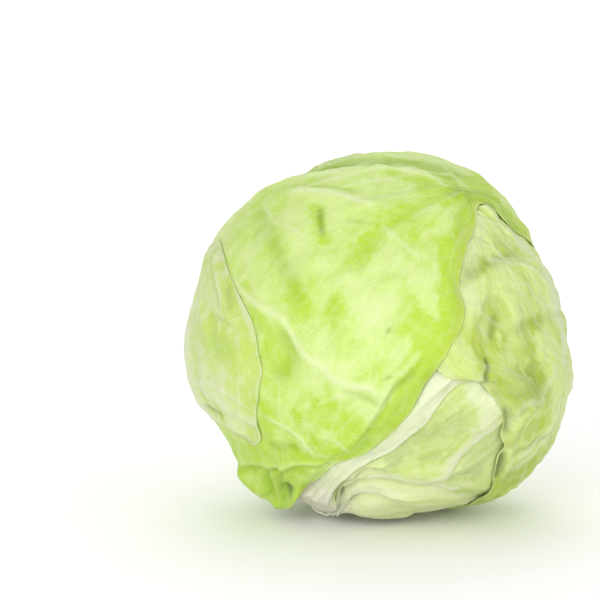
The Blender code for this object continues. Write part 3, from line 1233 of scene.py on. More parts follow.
    def relief(
        self,
        directions: np.ndarray,
        rays: np.ndarray,
        across: np.ndarray,
        along: np.ndarray,
        edge: np.ndarray,
    ) -> tuple[np.ndarray, dict[str, np.ndarray]]:
        """The leaf's relief and its marks.

        Args:
            directions: The leaf's grid.
            rays: The grid's rays.
            across: Distances from the rib.
            along: Distances from the base.
            edge: Distances from the nearest edge.

        Returns:
            A grid of heights in metres, and for each mark's name a value for each point.
        """
        shape = across.shape
        flat = directions.reshape(-1, 3)
        pale, painted_shade, green, height = (np.zeros(len(flat)) for _ in range(4))
        for stroke in self.strokes:
            weight = stroke.weights(flat)
            height += weight * stroke.height * MM
            # Creases, grooves and shade patches add painted shade
            paler, more_painted_shade, greener = (weight * share * stroke.strength for share in stroke.mark.value)
            pale, painted_shade, green = np.maximum(pale, paler), np.maximum(painted_shade, more_painted_shade), green + greener
        pale, painted_shade, green, height = (values.reshape(shape) for values in (pale, painted_shade, green, height))
        points = rays * SURFACE_RADIUS
        swell, net = (values.reshape(shape) for values in self.cells(points))
        shallow = rise_from(FLAT_SHARE, edge, 0.0, FLAT_REACH)
        height += (self.blister * swell + self.sway * self.waves(points).reshape(shape)) * MM * shallow
        rib, side = self.veins(across, along, rays, shape)
        height += self.rib_size[1] * MM * rib + self.lateral_size[1] * MM * side
        streaks = self.streaks(along)
        from_stem = stem_angle(directions) * SURFACE_RADIUS
        height += self.fold * MM * streaks * shallow * ramp(from_stem, *FOLD_START)
        height += self.ruffle * MM * self.ruffles(rays).reshape(shape) * bell(edge, RUFFLE_REACH)
        base_pale = self.base_pale * MM
        whitish = 1 - ramp(from_stem * (1 - WHITISH_FINGERS * streaks), WHITISH_SOLID * base_pale, base_pale)
        radiating = self.radiating * bell(streaks - FOLD_VEIN, FOLD_VEIN_WIDTH) * (1 - whitish)
        rim = RIM_PALE * bell(edge, RIM_WIDTH)
        marks = {
            "pale": np.maximum.reduce((pale, self.rib_pale * rib, SIDE_PALE * side, radiating, rim)),
            # Painted shade in the creases, grooves and shade patches
            "painted_shade": painted_shade,
            "green": green + self.greening * ramp(-streaks, 0.0, HOLLOW_DEPTH),
            "base": whitish,
            "net": NET_PALE * net * (1 - whitish),
        }
        return height, {name: np.clip(values, 0, 1).ravel() for name, values in marks.items()}

    def cells(self, points: np.ndarray) -> tuple[np.ndarray, np.ndarray]:
        """The net of small veins, and the swellings between them.

        Args:
            points: Points on a ball of the head's size.

        Returns:
            The swelling, 1 in a cell's middle, and the net, 1 on its lines.
        """
        scale = 1 / (self.cell * MM)
        swell = np.empty(len(points))
        shift = Vector((self.seed, 2.3 * self.seed, -self.seed))
        for index, point in enumerate(points):
            place = Vector(point) * scale + shift
            place = place + CELL_BEND * noise.noise_vector(place * CELL_BEND_SCALE)
            near = noise.voronoi(place)[0]
            swell[index] = near[1] - near[0]
        return np.sqrt(np.clip(swell, 0, 1)) - CELL_LEVEL, bell(swell, CELL_LINE)

    def streaks(self, along: np.ndarray) -> np.ndarray:
        """The folds that run out from the base and spread with the leaf.

        Args:
            along: Distances from the base.

        Returns:
            A grid of heights from about -1 to 1.
        """
        fans = np.linspace(0, self.fold_count, along.shape[1])
        return np.array([
            [
                noise.fractal(Vector((fan, FOLD_STEP * run, self.seed)), *FOLD_NOISE)
                for fan, run in zip(fans, row)
            ]
            for row in along
        ])

    def waves(self, points: np.ndarray) -> np.ndarray:
        """The broad waves of the blade, from about -1 to 1, at points on a ball of the head's size."""
        return noise_over(points, WAVE_SCALE, Vector((-self.seed, self.seed, 1.7 * self.seed)), WAVE_NOISE)

    def veins(
        self, across: np.ndarray, along: np.ndarray, rays: np.ndarray, shape: tuple[int, int]
    ) -> tuple[np.ndarray, np.ndarray]:
        """The rib and the side veins that branch off it.

        Args:
            across: Distances from the rib.
            along: Distances from the base.
            rays: The grid's rays.
            shape: The grid's rows and columns.

        Returns:
            The rib's and the side veins' strength, from 0 to 1.
        """
        length = along[:, self.rib_column][-1]
        part = along[:, self.rib_column][:, None] / length
        rib = bell(across, self.rib_size[0] * MM * (1 - RIB_TAPER * part)) * (1 - RIB_SINK * part)
        if not self.laterals:
            return rib, np.zeros(shape)
        shift = Vector((3 * self.seed, 1.0, self.seed))
        wobble = np.array([noise.noise(Vector(ray) * WOBBLE_SCALE + shift) for ray in rays]).reshape(shape)
        reach = np.abs(across)
        forward = part * length - SIDE_LEAN * reach - SIDE_BEND * reach**2 / length
        phase = forward / length * self.laterals + 0.5 * (across > 0) + SIDE_WOBBLE * wobble
        offset = (phase - np.floor(phase) - 0.5) * length / self.laterals * SIDE_SPACING
        fade = (1 - SIDE_SINK * ramp(reach, *SIDE_SINK_SPAN)) * ramp(forward, *SIDE_START)
        return rib, bell(offset, self.lateral_size[0] * MM) * fade

    def ruffles(self, rays: np.ndarray) -> np.ndarray:
        """The waves of the leaf's edge, from 0 to about 1.5."""
        rough = noise_over(rays, RUFFLE_SCALE, Vector((self.seed, -2 * self.seed, 4.0)), RUFFLE_NOISE)
        return np.clip(RUFFLE_LEVEL + RUFFLE_DEPTH * rough, 0, None)

    def sheet(self, points: np.ndarray, shape: tuple[int, int]) -> tuple[bpy.types.Object, np.ndarray]:
        """Makes the leaf's sheet from a flat grid whose points are moved into place.

        Args:
            points: One point for each place of the grid.
            shape: The grid's rows and columns.

        Returns:
            The sheet, facing outward, and the place in the leaf's grid of each of its points.
        """
        bpy.ops.object.select_all(action="DESELECT")
        rows, columns = shape
        bpy.ops.mesh.primitive_grid_add(x_subdivisions=columns - 1, y_subdivisions=rows - 1, size=2)
        piece = bpy.context.object
        piece.name = piece.data.name = f"{self.name}_blade"
        mesh = piece.data
        flat = np.empty(len(mesh.vertices) * 3)
        mesh.vertices.foreach_get("co", flat)
        flat = flat.reshape(-1, 3)
        column = np.rint((flat[:, 0] + 1) / 2 * (columns - 1)).astype(int)
        row = np.rint((flat[:, 1] + 1) / 2 * (rows - 1)).astype(int)
        order = row * columns + column
        mesh.vertices.foreach_set("co", points[order].ravel())
        mesh.uv_layers[0].name = "leaf"
        mesh.update()
        middle = mesh.polygons[len(mesh.polygons) // 2]
        if middle.normal.dot(middle.center - Vector((0, 0, MIDDLE_HEIGHT))) < 0:
            bpy.ops.object.mode_set(mode="EDIT")
            bpy.ops.mesh.select_all(action="SELECT")
            bpy.ops.mesh.flip_normals()
            bpy.ops.object.mode_set(mode="OBJECT")
        return piece, order

    def store(self, piece: bpy.types.Object, marks: dict[str, np.ndarray], order: np.ndarray) -> None:
        """Stores the marks on the sheet's points.

        Args:
            piece: The sheet.
            marks: Values for each place of the leaf's grid, row by row.
            order: That grid's place for each of the sheet's points.
        """
        for name, values in marks.items():
            layer = piece.data.attributes.new(name, "FLOAT", "POINT")
            layer.data.foreach_set("value", values[order].astype(np.float32))

    def solidify(self, piece: bpy.types.Object, thickness: np.ndarray) -> None:
        """Gives the sheet its thickness, inward, and smooth shading.

        Args:
            piece: The sheet.
            thickness: The thickness at each of its points in metres.
        """
        group = piece.vertex_groups.new(name="thickness")
        most = float(thickness.max())
        shares = np.round(thickness / most, 2)
        for share in np.unique(shares):
            group.add(np.flatnonzero(shares == share).tolist(), float(share), "REPLACE")
        shell = piece.modifiers.new("thickness", "SOLIDIFY")
        shell.thickness = most
        shell.offset = -1
        shell.vertex_group = group.name
        bpy.ops.object.modifier_apply(modifier=shell.name)
        piece.vertex_groups.clear()
        bpy.ops.object.shade_smooth()


@dataclass
class Stem:
    """The cut stem.

    Attributes:
        finish: Its finish.
        name: The piece's name.
        node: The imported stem's name.
        radius: Its radius at the cut, in metres.
        sides: How many points go round it.
        rings: How many rings of points run along it.
        worn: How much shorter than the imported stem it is, in millimetres.
        flare: How much wider it grows behind the cut.
        flare_span: Where that starts and ends, as shares of its length behind the cut.
        flare_side: The side on which it grows most, as an angle round it in degrees.
        buttress: How much it grows all round, to that side, at its lobes and at its ribs.
        lobes: How many lobes go round it.
        ribs: How many ribs go round it.
        uneven: How far the lobes and the ribs stand out all along it, as shares of the radius.
        cut_start: Where the cut's own shape starts, as a share of its length.
        bevel: How far the cut's edge is worn down, in millimetres.
        bevel_start: Where that starts, as a share of the radius.
        dish: How far the cut's middle is sunk, in millimetres.
        ring_height: How high the rings on the cut stand, in millimetres.
        ring_rate: How fast they follow each other, in radians from the middle to the edge.
        grain: How rough its side is, in millimetres.
        grain_scale: How fine that is, round it and along it.
        smooth_angle: Up to which angle in degrees it is shaded smooth.
    """

    finish: StemFinish
    name: str = "stem_stub"
    node: str = "stem"
    radius: float = 0.013
    sides: int = 32
    rings: int = 19
    worn: float = 1.5
    flare: float = 1.15
    flare_span: tuple[float, float] = (0.02, 0.30)
    flare_side: float = 70.0
    buttress: tuple[float, float, float, float] = (0.42, 0.28, 0.08, 0.04)
    lobes: int = 5
    ribs: int = 11
    uneven: tuple[float, float] = (0.03, 0.02)
    cut_start: float = 0.93
    bevel: float = 1.2
    bevel_start: float = 0.82
    dish: float = 0.9
    ring_height: float = 0.25
    ring_rate: float = 26.0
    grain: float = 0.25
    grain_scale: tuple[float, float] = (7.0, 4.0)
    smooth_angle: float = 50.0

    def build(self) -> bpy.types.Object:
        """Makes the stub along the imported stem's own line, and dresses it.

        Returns:
            The finished piece.
        """
        middle = np.array((0.0, 0.0, MIDDLE_HEIGHT))
        axis = rays_of(direction(STEM_PLACE)[None])[0]
        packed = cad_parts[self.node].data
        run = (np.array([vert.co[:] for vert in packed.vertices]) - middle) @ axis
        low, high = run.min(), run.max() - self.worn * MM
        centre, half = middle + axis * (low + high) / 2, (high - low) / 2
        bpy.ops.object.select_all(action="DESELECT")
        bpy.ops.mesh.primitive_cylinder_add(
            vertices=self.sides, radius=self.radius, depth=2 * half, end_fill_type="TRIFAN"
        )
        piece = bpy.context.object
        piece.name = piece.data.name = self.name
        bpy.ops.object.mode_set(mode="EDIT")
        bpy.ops.mesh.select_all(action="SELECT")
        bpy.ops.mesh.subdivide(number_cuts=self.rings)
        bpy.ops.object.mode_set(mode="OBJECT")
        bearing, turn = STEM_PLACE
        front, right = (to_world(direction(place)) for place in ((bearing, turn - 90), (bearing + 90, 90)))
        for vert in piece.data.vertices:
            around = math.atan2(vert.co.y, vert.co.x)
            away = math.hypot(vert.co.x, vert.co.y) / self.radius
            part = (vert.co.z / half + 1) / 2
            reach = away * self.radius * self.swell(around, part)
            if away > 0.5:
                across, along = self.grain_scale
                rough = Vector((across * math.cos(around), across * math.sin(around), along * part))
                reach += self.grain * MM * noise.fractal(rough, *PATCH_NOISE)
            side = math.cos(around) * front + math.sin(around) * right
            vert.co = centre + axis * (vert.co.z - self.sunk(away, part)) + reach * side
        bpy.ops.object.shade_smooth_by_angle(angle=math.radians(self.smooth_angle))
        piece.data.materials.append(self.finish.build())
        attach(piece, "root")
        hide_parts(self.node)
        return piece

    def swell(self, around: float, part: float) -> float:
        """How much wider than at its cut the stub is.

        Args:
            around: The angle round it in radians.
            part: From 0 at its inner end to 1 at the cut.

        Returns:
            A factor for the radius.
        """
        spread = float(ramp(np.array(1 - part), *self.flare_span))
        lobes, ribs = self.lobes * around, self.ribs * around
        aside = math.cos(around - math.radians(self.flare_side))
        level, lean, lobe, rib = self.buttress
        buttress = level + lean * aside + lobe * math.sin(lobes + 1) + rib * math.sin(ribs)
        lobe, rib = self.uneven
        return 1 + self.flare * spread * buttress + lobe * math.sin(lobes) + rib * math.sin(ribs + 1)

    def sunk(self, away: float, part: float) -> float:
        """How far the cut is sunk and worn.

        Args:
            away: From 0 in the stub's middle to 1 on its side.
            part: From 0 at its inner end to 1 at the cut.

        Returns:
            A depth in metres.
        """
        cut = float(ramp(np.array(part), self.cut_start, 1.0))
        bevel = self.bevel * max(0.0, away - self.bevel_start) / (1 - self.bevel_start)
        rings = self.ring_height * math.sin(away * self.ring_rate)
        return (bevel + self.dish * (1 - away**2) - rings) * MM * cut


BASE_LEAVES = (
    Leaf(
        name="base_leaf_5",
        finish=PAINTED_LIGHT_LOW_BASE_FINISH,
        foot=(70, 190),
        left=((262, 63), (270, 58), (284, 62), (300, 70), (318, 74)),
        rib=((266, 82), (276, 84), (290, 84), (308, 86), (326, 88)),
        right=((266, 104), (274, 116), (288, 124), (306, 126), (330, 118)),
        rib_size=(12.0, 1.6),
        laterals=0,
        fold=0.7,
        strokes=(Stroke(Mark.RIDGE, ((255, 78), (264, 78), (273, 80), (281, 83)), 13.0, 2.8),),
        seed=1.1,
    ),
    Leaf(
        name="base_leaf_4",
        finish=PAINTED_LIGHT_LOW_BASE_FINISH,
        foot=(40, 110),
        left=((257, 58), (268, 50), (288, 50), (306, 52)),
        rib=((260, 66), (268, 59), (284, 60), (302, 66)),
        right=((259, 74), (262, 66), (269, 62), (275, 66), (279, 71), (298, 84)),
        columns=90,
        rib_size=(8.0, 1.8),
        laterals=0,
        fold=0.6,
        base_pale=22.0,
        strokes=(Stroke(Mark.GREEN, ((270, 57), (281, 60), (292, 65)), 6.0, 0.0, 0.5),),
        seed=2.2,
    ),
    Leaf(
        name="base_leaf_3",
        finish=BASE_FINISH,
        foot=(20, 85),
        left=((254, 56), (262, 46), (280, 41), (302, 40), (322, 42), (338, 48)),
        rib=((256, 60), (266, 51), (280, 50), (296, 51), (314, 52), (330, 54)),
        right=((256, 66), (259, 57), (266, 53), (275, 54), (284, 57), (291, 59), (297, 68), (306, 84)),
        rib_size=(9.0, 1.5),
        rib_pale=0.4,
        laterals=0,
        radiating=0.15,
        fold=0.35,
        strokes=(
            Stroke(Mark.STREAK, ((257, 58), (268, 51), (284, 54), (296, 62)), 2.2, 0.6, 0.9),
            Stroke(Mark.BLOTCH, ((304, 54), (310, 50), (318, 50), (326, 51)), 7.0, 0.0, 0.5),
        ),
        seed=3.3,
    ),
    Leaf(
        name="base_leaf_2",
        finish=BASE_FINISH,
        foot=(-5, 60),
        left=((251, 56), (258, 42), (272, 33), (296, 24), (330, 22), (356, 32)),
        rib=((254, 57), (263, 46), (276, 42), (296, 38), (318, 37), (342, 42)),
        right=(
            (255, 60), (260, 51), (266, 46), (272, 48), (277, 51), (284, 55), (292, 55.5), (298, 50.5),
            (305, 46.5), (312, 45.5), (322, 47), (338, 50),
        ),
        rib_size=(12.0, 1.8),
        rib_pale=0.2,
        laterals=0,
        radiating=0.12,
        fold=0.3,
        strokes=(
            Stroke(
                Mark.STREAK,
                ((259, 53), (270, 49), (284, 54), (292, 53.5), (298, 48.5), (306, 44.5), (321, 44.5)),
                3.0, 0.8, 0.8,
            ),
            # A painted highlight on the leaf's bulge
            Stroke(Mark.STREAK, ((330, 34), (328, 39), (321, 41)), 6.0, 0.4, 0.8),
            Stroke(Mark.GREEN, ((276, 44), (290, 43), (306, 38)), 6.0, -0.5, 0.6),
            Stroke(Mark.GREEN, ((294, 41), (307, 38), (321, 40)), 6.0, -0.8, 1.3),
            # Painted shade beside the rib
            Stroke(Mark.BLOTCH, ((293, 40), (305, 37), (317, 37)), 8.0, 0.0, 0.3),
            Stroke(Mark.BLOTCH, ((275, 42), (285, 38), (300, 35), (313, 37)), 4.0, -0.6, 0.5),
        ),
        seed=4.4,
    ),
    Leaf(
        name="base_leaf_1",
        finish=BASE_FINISH,
        foot=(-40, 30),
        left=((247, 56), (253, 38), (268, 20), (310, 12), (30, 20), (40, 34)),
        rib=((251, 58), (257, 43), (270, 33), (294, 23), (330, 22), (2, 30), (24, 42)),
        right=(
            (254, 58), (259, 48), (266, 42), (278, 38), (288, 34.5), (296, 31.2), (304, 27.6), (314, 26),
            (324, 26), (334, 29), (354, 40), (14, 50),
        ),
        rib_size=(9.0, 2.0),
        laterals=0,
        fold=0.4,
        base_pale=48.0,
        strokes=(
            Stroke(
                Mark.STREAK, ((253, 52), (261, 43), (278, 34), (301, 25), (322, 22), (334, 25)), 7.0, 0.8,
            ),
            Stroke(Mark.STREAK, ((262, 44), (278, 36.5), (293, 32), (305, 27), (320, 25)), 3.5, 0.4),
        ),
        seed=5.5,
    ),
)

BACK_LEAVES = (
    Leaf(
        name="back_left_leaf",
        finish=BACK_FINISH,
        outer=True,
        foot=(-110, -180),
        left=((230, 84), (208, 94), (184, 100), (160, 98), (144, 92), (131, 84)),
        rib=((238, 112), (222, 134), (186, 150), (138, 134), (118, 110), (108, 84)),
        right=((252, 122), (264, 150), (0, 176), (70, 150), (78, 118), (82, 88)),
        columns=130,
        rows=160,
        seed=6.6,
    ),
    Leaf(
        name="back_right_leaf",
        finish=BACK_FINISH,
        outer=True,
        foot=(190, 120),
        left=((244, 112), (228, 142), (170, 165), (92, 145), (82, 112), (80, 84)),
        rib=((258, 118), (268, 142), (325, 163), (30, 140), (40, 110), (48, 84)),
        right=((266, 114), (284, 130), (314, 140), (348, 134), (12, 116), (26, 98), (34, 82)),
        columns=130,
        rows=160,
        seed=7.7,
    ),
)

RIGHT_LEAF = Leaf(
    name="right_leaf",
    finish=PALE_FINISH,
    foot=(110, 190),
    outer=True,
    split=0.68,
    left=(
        (262, 97), (272, 99), (286, 97), (296, 89), (301, 80), (306, 70), (309, 64), (311, 60),
        (315, 55), (318, 53.5), (319, 51), (322, 48), (326, 47), (329, 43), (331, 38.8), (333.5, 35.5),
        (335.5, 33), (334.5, 30.5), (331.5, 26.5), (329, 22.5), (331, 17), (345, 13), (40, 22), (60, 40),
        (66, 50),
    ),
    rib=((259, 98), (266, 104), (280, 108), (300, 110), (322, 106), (342, 98), (2, 86), (26, 74), (56, 60)),
    right=((257, 104), (268, 121), (290, 130), (312, 134), (340, 134), (8, 128), (34, 110), (50, 86)),
    columns=200,
    rows=230,
    blister=1.1,
    cell=12.0,
    sway=2.2,
    laterals=8,
    fold=1.2,
    radiating=0.22,
    wander=0.9,
    tuck=8.0,
    strokes=(
        Stroke(
            Mark.RIM,
            ((301, 80), (306, 69), (311, 60), (315, 55), (318, 53), (322, 48), (326, 46), (329, 42),
             (332, 37), (336, 33), (334, 29), (331, 25)),
            1.8, 1.0,
        ),
        Stroke(Mark.CREASE, ((349, 32.5), (345, 33.5), (340, 33.3), (335, 34)), 1.5, -2.4),
        Stroke(Mark.CREASE, ((330, 43), (326, 48), (322, 50)), 1.4, -2.8, 0.9),
        Stroke(Mark.CREASE, ((317, 55), (313, 60), (309, 66)), 1.5, -2.8),
        Stroke(Mark.STREAK, ((49, 55), (45, 44), (37, 37), (22, 32)), 6.0, 0.0, 0.5),
        Stroke(Mark.STREAK, ((36, 72), (25, 78), (14, 77), (3, 79), (353, 76)), 6.0, 0.0, 0.9),
        Stroke(Mark.GROOVE, ((34, 35), (34, 44), (33, 53), (31, 65)), 3.0, -0.9),
        Stroke(Mark.GREEN, ((36, 34), (36, 38), (36, 43)), 4.0, -0.7, 1.4),
        Stroke(Mark.CREASE, ((35, 35), (36, 39)), 2.4, -0.5, 0.45),
        Stroke(Mark.GREEN, ((38, 58), (34, 61), (31, 62)), 5.0, -0.5),
        Stroke(Mark.VEIN, ((36, 47), (31, 55), (24, 65), (17, 71), (12, 71)), 1.4, 0.6, 0.6),
        Stroke(Mark.GREEN, ((14, 40), (8, 37), (0, 35), (352, 33.5)), 5.0, -1.6, 1.5),
        Stroke(Mark.CREASE, ((11, 39), (5, 37), (358, 35.5)), 2.6, -0.8, 0.55),
        Stroke(Mark.GREEN, ((4, 43), (3, 50), (5, 60)), 3.5, 0.0, 1.1),
        Stroke(Mark.GROOVE, ((344, 37), (0, 43), (4, 50), (6, 62), (8, 85)), 2.4, -1.6, 0.5),
        Stroke(Mark.RIDGE, ((352, 38), (344, 43), (337, 46)), 6.0, 2.4),
        Stroke(Mark.RIDGE, ((20, 50), (6, 47), (355, 48)), 6.0, 1.8),
        Stroke(Mark.RIDGE, ((325, 50), (317, 58), (312, 64)), 3.5, 1.8),
        Stroke(Mark.GREEN, ((340, 38), (358, 31), (6, 32)), 4.0, -0.5, 0.8),
        Stroke(Mark.GREEN, ((338, 40), (338, 47), (342, 54)), 8.0, -0.5, 1.4),
        Stroke(Mark.GREEN, ((354, 47), (357, 52)), 6.0, 0.0, 0.6),
        Stroke(Mark.GREEN, ((346, 30), (352, 32), (358, 35)), 5.0, 0.5, 0.6),
        Stroke(Mark.GREEN, ((320, 52), (326, 55), (330, 60)), 5.0),
        Stroke(Mark.GREEN, ((306, 70), (313, 75), (320, 79)), 8.0, 0.0, 0.9),
        Stroke(Mark.GREEN, ((296, 84), (302, 79), (306, 77)), 5.0, 0.4),
        Stroke(Mark.CREASE, ((300, 85), (304, 82), (307, 77)), 1.5, -0.6, 0.3),
        Stroke(Mark.GROOVE, ((317, 57), (321, 61), (327, 68), (333, 75), (339, 77)), 2.0, -1.4),
        Stroke(Mark.RIDGE, ((327, 51), (334, 52), (338, 59), (343, 71)), 4.0, 1.6),
        Stroke(
            Mark.VEIN, ((328, 51), (331, 47), (336, 50), (338, 56), (344, 60), (351, 64)), 1.6, 0.5, 0.45,
        ),
        Stroke(Mark.VEIN, ((318, 61), (322, 65), (328, 68), (334, 70), (343, 73)), 1.4, 0.8, 0.6),
        Stroke(Mark.VEIN, ((312, 62), (318, 67), (328, 71), (336, 77), (353, 84)), 1.4, 0.7, 0.6),
        Stroke(Mark.GREEN, ((329, 58),), 5.0, -0.4, 0.6),
        Stroke(Mark.BLOTCH, ((339, 44), (340, 50), (345, 56)), 8.0, -0.4, 0.45),
        Stroke(Mark.GREEN, ((336, 37), (335, 41), (337, 46)), 5.0, -0.4, 1.4),
        Stroke(Mark.BLOTCH, ((337, 38), (337, 42), (340, 46)), 4.0, 0.0, 0.3),
        # Painted shade low on the right, where the leaf turns down
        Stroke(Mark.BLOTCH, ((312, 66), (319, 71), (327, 75)), 7.0, 0.0, 0.3),
        Stroke(Mark.STREAK, ((26, 77), (15, 75), (5, 76)), 6.0, 0.0, 0.7),
    ),
    seed=8.8,
)

